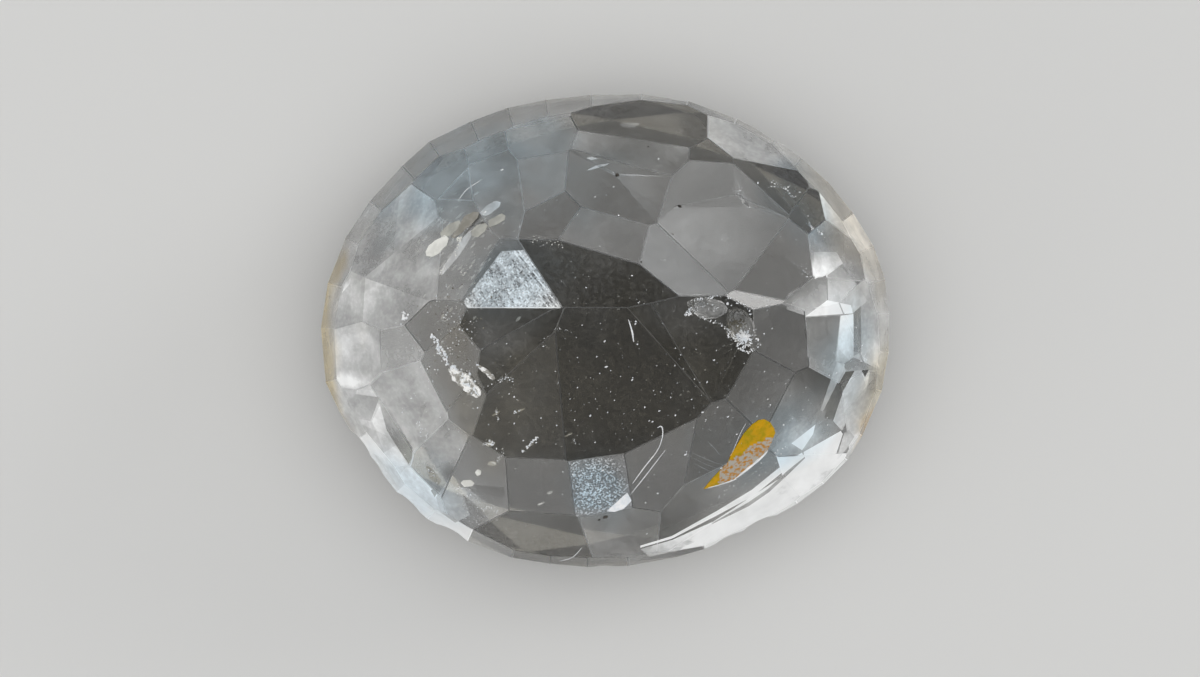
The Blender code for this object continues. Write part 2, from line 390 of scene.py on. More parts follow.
facet_haze_and_light_layer = gem.faces.layers.float.new("facet_haze_and_light")
pane_layer = gem.faces.layers.float.new("pane")
sawn_layer = gem.faces.layers.int.new("sawn")
corner_haze_and_light_layer = gem.loops.layers.float.new("haze_and_painted_light")
tint_layer = gem.loops.layers.float_color.new("tint")
for face in gem.faces:
    slope = slope_of(face)
    middle = face.calc_center_bounds()
    face[facet_haze_and_light_layer] = between(HAZE_BY_SLOPE, slope)
    face[pane_layer] = face.index
    if GIRDLE_SLOPE < slope < UPRIGHT:
        azimuth = math.degrees(math.atan2(middle.y, middle.x)) % 360
        face[facet_haze_and_light_layer] = between(GIRDLE_HAZE_AND_GLARE, azimuth)
for east, north, haze_and_painted_light in HAZE_AND_LIGHT_AT.values():
    gem.faces[facet_at(east, north)][facet_haze_and_light_layer] = haze_and_painted_light
print("facets with a haze of their own:", len(HAZE_AND_LIGHT_AT))

# %% [markdown]
# The edges. On an old stone the edges between facets are worn to narrow bright lines. A bevel makes
# them as real strips, which catch the light at any angle. Only true facet edges take part: the
# crumbly rims of the hollows and the slight edges inside the girdle's chips are left as they are.
# The new strips get a material of their own. The hollows, the frosted and the etched facet are
# marked first, while they can still be told apart.

# %% Wear the edges down
EDGE_WEAR = 0.014 * MM
SHARP_EDGE = math.radians(2)
SHORT_EDGE = 0.12 * MM
SMALL_FACE = 0.012 * MM * MM
# No edge that meets a worn one is shorter than this many times the wear.
EDGE_ROOM = 2.4
# What wear adds to the haze, how much that varies, what the edges near the girdle get besides, and
# the most that an edge has.
WEAR_HAZE = 0.03
WEAR_VARIES = 0.08
GIRDLE_WEAR = 0.15
WORN_MOST = 0.9
GIRDLE_TOP = 2.3
POLISH, WORN, FROST, ETCH, SUGAR = range(5)
FROSTED_AT = (-2.2, 1.1)
ETCHED_AT = (-0.3, -3.6)
# The frosting stops short of the facet's top, along two lines: a place on each, and the azimuth across.
FROST_LIMITS = ((-2.4, 1.85, 143), (-2.0, 1.87, 94))
# The girdle's chips lie below this height and the hollows above it, in faces smaller than this.
CHIP_TOP = 2.6 * MM
HOLLOW_FACE = 0.02 * MM * MM
# A chip is one round scoop, so an edge in it that turns less than this is not a worn edge.
CHIP_TURN = math.radians(6)


def worn_edges(gem):
    """The edges between two true facets."""
    chosen = []
    for edge in gem.edges:
        if len(edge.link_faces) != 2 or edge.calc_length() < SHORT_EDGE:
            continue
        if edge.calc_face_angle(0) < SHARP_EDGE:
            continue
        low = max(vert.co.z for vert in edge.verts) < CHIP_TOP
        if low and edge.calc_face_angle(0) < CHIP_TURN:
            continue
        if min(face.calc_area() for face in edge.link_faces) < SMALL_FACE:
            continue
        meeting = [other.calc_length() for vert in edge.verts for other in vert.link_edges]
        if min(meeting) < EDGE_WEAR * EDGE_ROOM:
            continue
        chosen.append(edge)
    return chosen


for face in gem.faces:
    if face.calc_center_bounds().z > CHIP_TOP and face.calc_area() < HOLLOW_FACE:
        face.material_index = SUGAR
frosted_number = facet_at(*FROSTED_AT)
for east, north, azimuth in FROST_LIMITS:
    saw(gem, [gem.faces[frosted_number]], Vector((east, north, 0)) * MM, towards(azimuth, 0))
    gem.faces.ensure_lookup_table()
    frosted_number = under(BVHTree.FromBMesh(gem), *FROSTED_AT)[2]
gem.faces[frosted_number].material_index = FROST
gem.faces[facet_at(*ETCHED_AT)].material_index = ETCH

worn = worn_edges(gem)
bevelled = bmesh.ops.bevel(
    gem, geom=worn, offset=EDGE_WEAR, offset_type="OFFSET", segments=1, profile=0.5,
    affect="EDGES", material=WORN, clamp_overlap=False,
)
for strip in bevelled["faces"]:
    middle = strip.calc_center_median() / MM
    wear = WEAR_HAZE + WEAR_VARIES * noise.noise(middle * 0.8)
    if middle.z < GIRDLE_TOP:
        wear += GIRDLE_WEAR
    strip[facet_haze_and_light_layer] = min(WORN_MOST, max(0.0, strip[facet_haze_and_light_layer] + wear))
print("worn edges:", len(worn), "strips:", len(bevelled["faces"]))

# %% [markdown]
# The frosted facet was ground and never polished, so it sparkles like sugar. It is the brightest
# thing near the middle of the stone. A rough shader alone would make it a flat grey, so the face is
# sawn into a fine net and its points are pushed in and out. The etched facet further south is treated
# the same way, with finer and shallower pits.

# %% Roughen the frosted and the etched facet
ROUGH_NET = 0.035 * MM
# A cut this near to a point goes through it, as a share of the net's pitch.
NET_SNAP = 0.02
FROST_DEEP = 0.025 * MM
# Ridges run along the frosted facet's east side: a place on that side, the azimuth across it, how
# far in they reach, their pitch and how much they change the haze.
FROST_SIDE = (-1.1, 0.6, 0)
FROST_SIDE_AZIMUTH = 35
RIDGES_REACH = 0.4
RIDGE_PITCH = 0.1
RIDGE_HAZE = 0.35
ETCH_DEEP = 0.008 * MM
ETCH_MIDDLE = Vector((-0.33, -3.45, 0))
ETCH_REACH = 0.85
# The etching is never weaker than this, and its haze sparkles where chance is above the second.
ETCH_LEAST = 0.12
ETCH_LIT = 0.6
sparkle = random.Random(3)


def sawn_net(gem, number, pitch):
    """Cuts a flat facet into a square net: the points inside it, its faces and its direction."""
    faces = [face for face in gem.faces if face.material_index == number]
    outward = faces[0].normal.copy()
    first = outward.orthogonal().normalized()
    second = outward.cross(first)
    for face in gem.faces:
        face[sawn_layer] = 0
    for face in faces:
        face[sawn_layer] = 1
    for across in (first, second):
        reaches = [vert.co.dot(across) for face in faces for vert in face.verts]
        place = min(reaches) + pitch
        while place < max(reaches):
            inside = [face for face in gem.faces if face[sawn_layer]]
            saw(gem, inside, across * place, across, pitch * NET_SNAP)
            place += pitch
        faces = [face for face in gem.faces if face[sawn_layer]]
    inner = {vert for face in faces for vert in face.verts}
    return [vert for vert in inner if all(face[sawn_layer] for face in vert.link_faces)], faces, outward


def frost(gem):
    """Pushes the frosted facet's points out and in, in grains and in long ridges."""
    points, faces, outward = sawn_net(gem, FROST, ROUGH_NET)
    for point in points:
        place = point.co / MM
        ridge = noise.noise(Vector((place.x * 9 + place.y * 5, place.y * 1.5 - place.x * 2.5, 3)))
        grain = noise.noise(place * 13) + 0.6 * noise.noise(place * 27)
        point.co -= outward * FROST_DEEP * (0.6 + 0.5 * ridge + 0.8 * grain)
    for face in faces:
        place = face.calc_center_median() / MM
        brushed = noise.noise(Vector((place.x * 14 + place.y * 7, place.y * 2 - place.x * 3, 7)))
        lumps = noise.noise(place * 4) + 0.8 * noise.noise(place * 16)
        worked = 0.55 + 0.28 * brushed + 0.26 * lumps + sparkle.uniform(-0.25, 0.25)
        from_side = (Vector(FROST_SIDE) - place).dot(towards(FROST_SIDE_AZIMUTH, 0))
        if 0 < from_side < RIDGES_REACH:
            ridge = math.sin(from_side * 2 * math.pi / RIDGE_PITCH)
            worked += RIDGE_HAZE * ridge * (1 - from_side / RIDGES_REACH)
        face[facet_haze_and_light_layer] = min(1, max(0.05, worked))
    print("frosted facet:", len(faces), "faces")


def off_etching(place):
    """How far a place is from the middle of the etching, as a share of its reach."""
    return math.hypot(place.x - ETCH_MIDDLE.x, place.y - ETCH_MIDDLE.y) / ETCH_REACH


def etch(gem):
    """Pits the etched facet, deepest in its middle."""
    points, faces, outward = sawn_net(gem, ETCH, ROUGH_NET)
    for point in points:
        place = point.co / MM
        strength = max(ETCH_LEAST, 1 - off_etching(place) ** 3)
        grain = noise.noise(place * 18) + 0.8 * noise.noise(place * 37)
        point.co -= outward * ETCH_DEEP * strength * (0.8 + 1.3 * grain)
    for face in faces:
        off = min(1, off_etching(face.calc_center_median() / MM))
        lit = sparkle.random() * (1.1 - 0.45 * off ** 2)
        face[facet_haze_and_light_layer] = 0.3 + 0.9 * (lit - ETCH_LIT) if lit > ETCH_LIT else 0.16 - 0.06 * off
    print("etched facet:", len(faces), "faces")


frost(gem)
etch(gem)

# %% [markdown]
# The hollows broke open along grains of crystal, so their skin is sugary. Each edge inside them is
# cut in two places, which makes nine small faces of a square one, and the points are moved by noise.

# %% Make the hollows sugary
SUGAR_DEEP = 0.018 * MM


def in_hollow(part):
    """Whether an edge or a point has only the faces of hollows round it."""
    return part.link_faces and all(face.material_index == SUGAR for face in part.link_faces)


def sugar(gem):
    """Splits the hollows' faces and roughens them."""
    edges = [edge for edge in gem.edges if in_hollow(edge)]
    bmesh.ops.subdivide_edges(gem, edges=edges, cuts=2, use_grid_fill=True)
    gem.normal_update()
    for vert in gem.verts:
        if in_hollow(vert):
            grain = noise.noise(vert.co / MM * 11) + 0.7 * noise.noise(vert.co / MM * 23)
            vert.co += vert.normal * SUGAR_DEEP * grain
    print("hollows:", len([face for face in gem.faces if face.material_index == SUGAR]), "faces")


sugar(gem)

# %% [markdown]
# No facet is evenly bright. Each one shows other facets through the stone, so it runs from dark to light,
# with a glow in some corners. That light and shade is painted into the haze. Upright planes saw the
# pavilion into a net of lines east and north, and each corner of the net gets its own haze: the facet's own
# value, a slope towards one side that paints shade across it, a cloud that stops at the facet's edges, and
# the painted glows and dark places that are listed.

# %% Paint shade on each facet from side to side
PAVILION_NET = 0.14 * MM
PAVILION_FOOT = 2.2 * MM
# Painted shade: most facets run from dark to light towards this azimuth, and this much.
LIGHT_SIDE = 150
LIGHT_AMOUNT = 0.6
# How much the slope and the cloud change a clear facet, and how much more for each whole of haze.
SHADE_LEAST = 0.015
SHADE_BY_HAZE = 0.25
# How strong and how fine the cloud is, and how far apart the facets' clouds are taken.
SHADE_CLOUD = 1.6
SHADE_FINE = 0.9
SHADE_APART = 3.7
# Facets whose painted shade runs another way: a place on each, then the azimuth and how much.
LIGHT_SIDES = {
    "north_east_1": (2.6, 2.6, 145, 1.6),
    "north_3": (0.0, 3.3, 150, 3.0),
    "north_4": (0.7, 4.1, 160, 0.6),
    "north_2": (-1.3, 2.6, 120, 3.0),
    "culet_north_east": (1.6, 1.5, 130, 0.5),
    "north_east_2": (4.0, 1.6, 60, 4.0),
    "east_3": (3.4, -1.3, 300, 3.0),
    "east_4": (4.5, -2.0, 275, 2.2),
    "east_5": (5.1, -0.3, 20, 0.7),
    "east_6": (4.7, 0.8, 290, 0.7),
    "south_rim_dull": (2.4, -3.7, 20, 1.2),
    "south_west_4": (-4.4, -1.5, 205, 0.8),
    "south_west_2": (-3.9, -2.8, 240, 0.5),
    "wedge_foot": (-3.0, -3.4, 240, 1.0),
    "culet_west": (-2.7, 0.2, 190, 0.7),
    "culet_south_west": (-1.9, -0.1, 200, 0.7),
}
# Painted glows, and painted dark places where the strength is negative: place, reach and strength.
PAINTED_GLOWS_AND_SHADE = {
    "north_east_corner": (4.78, 1.38, 0.42, 0.2, 0.75),
    "east_rim": (5.95, -0.5, 0.25, 0.35, 0.4),
    "east_foot": (4.4, -2.4, 0.4, 0.3, 0.45),
    "west_band": (-6.0, -1.1, 0.55, 0.14, 0.5),
    "west_dark": (-5.6, -1.55, 0.45, 0.12, -0.35),
    "south_west_foot": (-3.55, -3.2, 0.2, 0.2, -0.25),
    "north_west_glow": (-3.9, 1.2, 0.5, 0.4, 0.12),
    "north_dark": (0.4, 4.75, 0.5, 0.12, -0.2),
    "rim_cream": (2.6, 4.2, 0.6, 0.2, 0.15),
}


def lay_net(gem):
    """Saws the pavilion along level lines east and north, through all its facets at once."""
    for across, reach in ((Vector((1, 0, 0)), stone_high.x), (Vector((0, 1, 0)), stone_high.y)):
        for cut in range(int(-reach / PAVILION_NET) - 1, int(reach / PAVILION_NET) + 2):
            faces = [face for face in gem.faces if face.material_index == POLISH]
            faces = [face for face in faces if face.calc_center_bounds().z > PAVILION_FOOT]
            saw(gem, faces, across * cut * PAVILION_NET, across, PAVILION_NET * NET_SNAP)


def facet_middles(gem):
    """The middle of each facet, from the faces that carry its number."""
    sums = {}
    for face in gem.faces:
        area = face.calc_area()
        total = sums.setdefault(face[pane_layer], [Vector(), 0])
        total[0] += face.calc_center_median() * area
        total[1] += area
    return {number: total / max(area, 1e-12) for number, (total, area) in sums.items()}


def shade(gem):
    """Writes the haze of each corner of each face, with the painted shade and glows in it."""
    middles = facet_middles(gem)
    sides = {}
    for east, north, azimuth, amount in LIGHT_SIDES.values():
        sides[facet_at(east, north)] = (towards(azimuth, 0), amount)
    painted_glows_and_shade = {}
    for spot in PAINTED_GLOWS_AND_SHADE.values():
        painted_glows_and_shade.setdefault(facet_at(*spot[:2]), []).append(spot)
    for face in gem.faces:
        base = face[facet_haze_and_light_layer]
        number = int(face[pane_layer])
        side, amount = sides.get(number, (towards(LIGHT_SIDE, 0), LIGHT_AMOUNT))
        for loop in face.loops:
            haze_and_painted_light = base
            if face.material_index == POLISH:
                place = loop.vert.co / MM
                off = place - middles[face[pane_layer]] / MM
                own = Vector((place.x * SHADE_FINE, place.y * SHADE_FINE, number * SHADE_APART))
                change = amount * off.dot(side) + SHADE_CLOUD * noise.noise(own)
                haze_and_painted_light += (SHADE_BY_HAZE * base + SHADE_LEAST) * change
                for east, north, reach_east, reach_north, strength in painted_glows_and_shade.get(number, ()):
                    far = ((place.x - east) / reach_east) ** 2 + ((place.y - north) / reach_north) ** 2
                    haze_and_painted_light += strength * math.exp(-far)
            loop[corner_haze_and_light_layer] = min(1, max(0, haze_and_painted_light))


lay_net(gem)
shade(gem)
print("after the net:", len(gem.faces), "faces")

# %% [markdown]
# Some painted highlights and shade on the facets have sharp outlines: the white glare in the east and south
# east, the bright line over a dark one along the last edge, and the dark corners that show an unlit facet.
# Each is an outline, cut straight down into the facets under it, and what lies inside gets a haze of its
# own, which paints that highlight or shade.

# %% Cut the painted highlights and shade with sharp outlines
CUT_MARGIN = 0.2
# Each mark paints a highlight or a shade into the haze of the facets.
# Each mark: its haze at one end and the other, the azimuth from one to the other, and its outline, whose
# corners were picked on enlarged crops of the photo and turned into mm.
PAINTED_LIGHT_MARKS = {
    "east_highlight": (0.35, 1.0, 262, ((4.68, 1.84), (5.21, 1.84), (5.35, 1.58), (4.70, 1.22))),
    "east_pane": (0.1, 0.42, 300, (
        (4.07, 0.89), (4.96, 1.31), (4.98, 0.73), (4.50, 0.38), (4.05, 0.53),
    )),
    "east_blue_pane": (0.2, 0.6, 250, (
        (4.99, 1.31), (5.34, 1.56), (5.92, 0.73), (5.58, 0.45), (5.00, 0.70),
    )),
    "east_fade": (0.75, 1.0, 0, ((4.48, 0.37), (4.98, 0.74), (5.53, 0.63), (5.58, 0.44))),
    "east_dull_pane": (0.1, 0.3, 300, ((4.49, 0.35), (5.28, 0.39), (5.16, -0.64), (4.53, -0.55))),
    "east_strip": (0.95, 0.45, 275, (
        (5.29, 0.39), (5.59, 0.43), (5.60, -0.55), (5.37, -0.69), (5.19, -0.64),
    )),
    "east_shadow": (0.16, 0.3, 270, ((5.60, 0.44), (5.76, 0.61), (5.78, -0.44), (5.60, -0.53))),
    "east_rim_pane": (0.3, 0.65, 260, ((5.77, 0.61), (5.89, 0.47), (6.21, -0.80), (5.78, -0.51))),
    "east_olive": (0.22, 0.35, 340, ((5.37, -0.71), (5.60, -0.56), (6.21, -0.84), (5.42, -0.87))),
    "east_ribbon": (0.5, 0.35, 250, (
        (5.21, -0.67), (5.40, -0.71), (5.37, -0.85), (4.89, -1.81), (4.84, -1.76),
    )),
    "east_dark_strip": (0.0, 0.08, 250, (
        (5.42, -0.88), (5.62, -0.87), (5.44, -1.19), (5.16, -1.99), (4.94, -1.95), (4.98, -1.65),
    )),
    "east_band": (0.42, 0.6, 250, (
        (5.67, -0.88), (5.78, -0.88), (5.89, -1.19), (5.58, -1.76), (5.35, -2.24), (5.14, -2.01),
        (5.37, -1.31),
    )),
    "east_dark_corner": (0.03, 0.03, 0, ((5.79, -0.86), (5.96, -0.84), (5.87, -1.01))),
    "east_grey": (0.3, 0.5, 250, (
        (5.99, -0.87), (6.26, -0.99), (6.10, -1.40), (5.76, -1.79), (5.92, -1.24),
    )),
    "glare_upper": (1.0, 1.0, 0, ((4.18, -2.52), (4.73, -2.09), (4.68, -2.31), (4.43, -2.68))),
    "glare_lower": (1.0, 1.0, 0, (
        (4.46, -2.72), (5.32, -2.24), (5.37, -2.31), (5.16, -2.95), (4.53, -3.13),
    )),
    "glare_side": (0.45, 0.75, 180, (
        (5.39, -2.31), (5.51, -2.22), (5.64, -2.38), (5.44, -2.68), (5.22, -2.95),
    )),
    "bright_line": (1.0, 1.0, 0, (
        (0.74, -4.86), (1.46, -4.64), (2.48, -4.07), (3.30, -3.57), (4.08, -2.93), (4.43, -2.73),
        (4.46, -2.80), (4.09, -3.09), (3.32, -3.73), (2.49, -4.17), (1.47, -4.70), (0.74, -4.91),
    )),
    "dark_line": (0.28, 0.35, 40, (
        (2.37, -4.35), (3.21, -3.87), (3.66, -3.56), (4.08, -3.16), (4.49, -2.83), (4.50, -2.86),
        (4.11, -3.24), (3.68, -3.64), (3.22, -3.96), (2.38, -4.37),
    )),
    "under_line": (0.4, 1.0, 30, (
        (0.74, -4.94), (1.47, -4.73), (2.38, -4.32), (2.38, -4.46), (1.65, -4.96), (0.96, -5.12),
    )),
    "pale_streak": (0.6, 0.6, 0, ((1.63, -4.78), (1.81, -4.74), (1.99, -4.78), (1.81, -4.86))),
    "north_streak": (0.35, 0.35, 0, (
        (-0.50, 3.68), (-0.27, 3.80), (0.03, 3.85), (-0.04, 3.80), (-0.32, 3.72),
    )),
    "north_short_streak": (0.4, 0.4, 0, ((-0.50, 3.97), (-0.36, 4.00), (-0.22, 3.95), (-0.38, 3.92))),
    "gold_patch": (0.08, 0.16, 0, ((0.26, 4.74), (0.37, 4.80), (0.74, 4.78), (0.62, 4.69), (0.37, 4.68))),
    "north_dark": (0.0, 0.0, 0, ((0.00, 5.13), (0.28, 5.21), (0.69, 5.18), (0.55, 5.02), (0.14, 4.95))),
    "south_west_triangle": (0.25, 0.5, 215, (
        (-6.18, -1.34), (-5.20, -1.47), (-5.41, -2.01), (-5.79, -1.95),
    )),
    "south_west_shadow": (0.42, 0.05, 300, (
        (-5.20, -1.60), (-5.09, -1.55), (-4.45, -2.61), (-4.47, -2.88), (-4.54, -3.00), (-4.77, -2.65),
        (-5.04, -2.22),
    )),
    "south_west_band": (0.75, 0.55, 300, (
        (-5.38, -2.01), (-5.20, -1.67), (-5.04, -2.24), (-4.77, -2.68), (-4.56, -3.02), (-4.74, -3.22),
        (-5.09, -2.77),
    )),
    "dark_crystal": (0.0, 0.05, 300, (
        (-4.15, -3.02), (-4.04, -3.06), (-3.79, -3.36), (-3.85, -3.47), (-4.06, -3.32),
    )),
    "dark_crystal_foot": (0.15, 0.3, 270, (
        (-3.79, -3.45), (-3.95, -3.75), (-4.04, -3.59), (-3.88, -3.52),
    )),
    "wedge_foot_dark": (0.0, 0.1, 250, ((-3.08, -3.45), (-2.35, -3.52), (-2.39, -4.00), (-2.74, -3.89))),
    "wedge_foot_band": (0.3, 0.15, 300, (
        (-3.47, -3.52), (-3.19, -3.54), (-2.78, -3.86), (-2.39, -4.00), (-2.42, -4.16), (-2.96, -3.98),
    )),
    "wedge_foot_glow": (0.55, 0.2, 45, (
        (-3.92, -3.75), (-3.63, -3.36), (-3.33, -3.63), (-3.15, -4.16), (-3.49, -4.34), (-3.83, -4.09),
    )),
    "north_west_gap": (0.0, 0.0, 0, (
        (-2.92, 2.71), (-2.86, 2.64), (-3.05, 2.42), (-3.24, 2.20), (-3.32, 2.20), (-3.10, 2.44),
    )),
    "north_west_ribbon": (0.5, 0.28, 45, (
        (-3.81, 1.37), (-3.69, 1.57), (-3.49, 1.86), (-3.33, 2.12), (-3.12, 2.32), (-3.08, 2.21),
        (-3.24, 1.94), (-3.40, 1.71), (-3.60, 1.48), (-3.76, 1.30),
    )),
    "north_west_bright": (0.35, 0.5, 45, (
        (-2.92, 2.71), (-2.74, 2.89), (-2.55, 2.99), (-2.43, 2.96), (-2.46, 2.86), (-2.64, 2.71),
        (-2.78, 2.64),
    )),
    "north_west_chevron": (0.0, 0.0, 0, ((-2.94, 2.47), (-2.83, 2.52), (-2.69, 2.44), (-2.83, 2.47))),
    "west_streak": (0.9, 0.5, 60, ((-6.07, 0.91), (-5.98, 1.14), (-5.85, 1.27), (-5.89, 1.11))),
    "frost_edge": (0.75, 0.75, 0, ((-3.18, 0.61), (-1.07, 0.59), (-1.07, 0.55), (-3.18, 0.56))),
}


def sides_of(outline):
    """The sides of a closed outline, each as its two ends."""
    return zip(outline, outline[1:] + outline[:1])


def reach_of(outline):
    """The least and the most that an outline reaches, each east and north."""
    low = [min(point[axis] for point in outline) for axis in (0, 1)]
    high = [max(point[axis] for point in outline) for axis in (0, 1)]
    return low, high


def inside(outline, place):
    """Whether a place lies in an outline, by counting the sides that a line east of it meets."""
    crossed = False
    for (east, north), (next_east, next_north) in sides_of(outline):
        if (north > place.y) != (next_north > place.y):
            share = (place.y - north) / (next_north - north)
            if place.x < east + (next_east - east) * share:
                crossed = not crossed
    return crossed


def paint_light_mark(gem, start, end, azimuth, outline):
    """Cuts an outline into the polished facets under it, and paints the highlight or shade inside as haze.
    """
    low, high = reach_of(outline)
    faces = []
    for face in gem.faces:
        middle = face.calc_center_bounds() / MM
        near = all(low[axis] - CUT_MARGIN < middle[axis] < high[axis] + CUT_MARGIN for axis in (0, 1))
        if near and middle.z > PAVILION_FOOT / MM and face.material_index in (POLISH, WORN):
            faces.append(face)
    for (east, north), (next_east, next_north) in sides_of(outline):
        across = Vector((next_north - north, east - next_east, 0)).normalized()
        parts = saw(gem, faces, Vector((east, north, 0)) * MM, across)
        faces = [part for part in parts if isinstance(part, bmesh.types.BMFace)]
    way = towards(azimuth, 0)
    reaches = [Vector((east, north, 0)).dot(way) for east, north in outline]
    for face in faces:
        if not inside(outline, face.calc_center_median() / MM):
            continue
        for loop in face.loops:
            share = ((loop.vert.co / MM).dot(way) - min(reaches)) / (max(reaches) - min(reaches))
            loop[corner_haze_and_light_layer] = start + (end - start) * share


for mark in PAINTED_LIGHT_MARKS.values():
    paint_light_mark(gem, *mark)
print("marks cut:", len(PAINTED_LIGHT_MARKS))

# %% [markdown]
# The stone isn't one colour. It is smoky brown in its middle and cool blue grey in the north west and the
# east, with earth yellow on the west girdle, cream in the north east and brown round the old pit. The smoky
# brown also darkens the middle, which is painted shade.
# Each tint is a soft cloud with a ragged edge. They are laid one over another on the corners of the
# faces, where the shader reads them, which is far quicker than working them out for every ray.

# %% Tint the stone
STONE_TINT = (0.97, 0.98, 0.98, 1)
TINT_FULL = 0.4
TINT_GONE = 1.2
TINT_MOST = 0.9
# Where earth, iron or the stone's own colour tints it: middle and reach in mm, then the tint. The darkening
# of the smoky middle is painted shade as well.
STAINS = {
    "smoky_and_shaded_middle": ((0.2, -0.9, 5.6), (3.2, 2.3, 2.6), (0.55, 0.5, 0.38, 1)),
    "smoky_wedge": ((-2.2, -1.5, 4.6), (1.6, 1.9, 2.0), (0.7, 0.64, 0.5, 1)),
    "cool_north_west": ((-2.9, 3.5, 3.6), (2.8, 2.0, 2.4), (0.7, 0.88, 1.0, 1)),
    "cool_north": ((-0.6, 2.9, 4.2), (1.7, 1.4, 2.2), (0.78, 0.92, 1.0, 1)),
    "cool_north_east": ((4.4, 2.9, 3.2), (1.2, 1.2, 2.0), (0.5, 0.68, 0.82, 1)),
    "cool_frost": ((-2.1, 1.2, 5.6), (1.5, 1.2, 3.0), (0.8, 0.92, 1.0, 1)),
    "cool_south": ((-0.3, -3.5, 4.0), (1.0, 1.0, 1.8), (0.66, 0.86, 1.0, 1)),
    "cool_south_east": ((3.4, -2.4, 4.0), (1.9, 1.2, 1.8), (0.74, 0.9, 1.0, 1)),
    "cool_east": ((5.2, -0.2, 3.2), (0.9, 1.6, 1.8), (0.78, 0.92, 1.0, 1)),
    "cool_south_west": ((-4.2, -3.4, 2.8), (1.6, 1.2, 1.8), (0.8, 0.92, 1.0, 1)),
    "earth_pit": ((-3.4, -0.1, 4.6), (0.8, 1.3, 1.8), (0.5, 0.43, 0.3, 1)),
    "earth_west": ((-6.5, 0.0, 1.6), (0.9, 2.6, 1.5), (0.93, 0.74, 0.36, 1)),
    "earth_north_west": ((-6.0, 1.5, 2.2), (0.5, 0.5, 0.8), (0.8, 0.62, 0.3, 1)),
    "cream_north_east": ((5.2, 2.2, 2.4), (1.8, 2.0, 1.4), (0.98, 0.9, 0.76, 1)),
    "cream_east": ((6.2, -1.2, 1.8), (0.8, 1.4, 1.4), (0.98, 0.88, 0.66, 1)),
    "rust_east": ((6.1, -2.1, 1.7), (0.5, 0.5, 1.0), (0.9, 0.62, 0.3, 1)),
}


def tint_at(place):
    """The stone's tint at a place, given in mm."""
    ragged_edge = 0.35 * noise.noise(place * 1.3)
    colour = Vector(STONE_TINT)
    for middle, reach, stain in STAINS.values():
        off = place - Vector(middle)
        far = Vector([part / size for part, size in zip(off, reach)]).length + ragged_edge
        share = min(1, max(0, (TINT_GONE - far) / (TINT_GONE - TINT_FULL)))
        share = TINT_MOST * share * share * (3 - 2 * share)
        colour = colour.lerp(Vector(stain), share)
    return colour


for vert in gem.verts:
    colour = tint_at(vert.co / MM)
    for loop in vert.link_loops:
        loop[tint_layer] = colour
print("tints:", len(STAINS))

# %% [markdown]
# The stone's own materials. Corundum is clear glass of index 1.77 to a shader, with a volume that takes a
# little of the light on its way. Over the long path through the middle that little adds up to painted
# shade. What is seen of a hazy facet is the share of light that its skin scatters before it can pass, so
# haze is the part that isn't transmitted. The haze also carries the painted highlights and shade written
# onto the facets. A cloud of noise breaks it up as wear does. One function makes every finish, so the
# volume is the same in each.

# %% Corundum in its finishes
INDEX = 1.77
# The stone's grey, strong enough to paint shade in its thick middle.
GREY_AND_PAINTED_SHADE = (0.5, 0.483, 0.442, 1)
STONE_DEPTH = 360
# How far clouds and panes change the haze, and mottling the tint, each from and to.
CLOUDY = (0.84, 1.18)
PANED = (0.88, 1.13)
MOTTLED = (0.87, 1.0)
# The most haze that dust adds: on a clear facet, and for each whole of haze.
DUST = 0.035
DUST_BY_HAZE = 0.12
# Skin hazier than the first gets this much more haze, fully so from the second. It whitens the ground
# facets and the painted glare alike.
WHITENED_FROM = 0.8
WHITENED_FULL = 0.95
WHITENED_MORE = 0.6
# How many clouds, grains and panes lie in a metre, and how far apart the facets' panes are taken.
CLOUD_SCALE = 1300
GRAIN_SCALE = 9500
PANE_SCALE = 650
PANES_APART = 0.0037
RELIEF_DEPTH = 0.01 * MM


def noise_node(tree, place, scale, detail=2.0, rough=0.5, distortion=0.0):
    """A noise texture in the stone's own space, and its value."""
    new = node(tree, "ShaderNodeTexNoise")
    tree.links.new(place, new.inputs["Vector"])
    new.inputs["Scale"].default_value = scale
    new.inputs["Detail"].default_value = detail
    new.inputs["Roughness"].default_value = rough
    new.inputs["Distortion"].default_value = distortion
    return new.outputs["Fac"]


def mix_colour(tree, share, first, second):
    """Mixes two colours, each a socket or a value, by a share."""
    new = node(tree, "ShaderNodeMix", data_type="RGBA")
    tree.links.new(share, new.inputs["Factor"])
    feed(tree, new.inputs[6], first)
    feed(tree, new.inputs[7], second)
    return new.outputs[2]


def fine_relief(tree, shader, height, strength):
    """Bumps a shader's surface by a height, this strongly."""
    relief = node(tree, "ShaderNodeBump")
    relief.inputs["Strength"].default_value = strength
    relief.inputs["Distance"].default_value = RELIEF_DEPTH
    tree.links.new(height, relief.inputs["Height"])
    tree.links.new(relief.outputs[0], shader.inputs["Normal"])


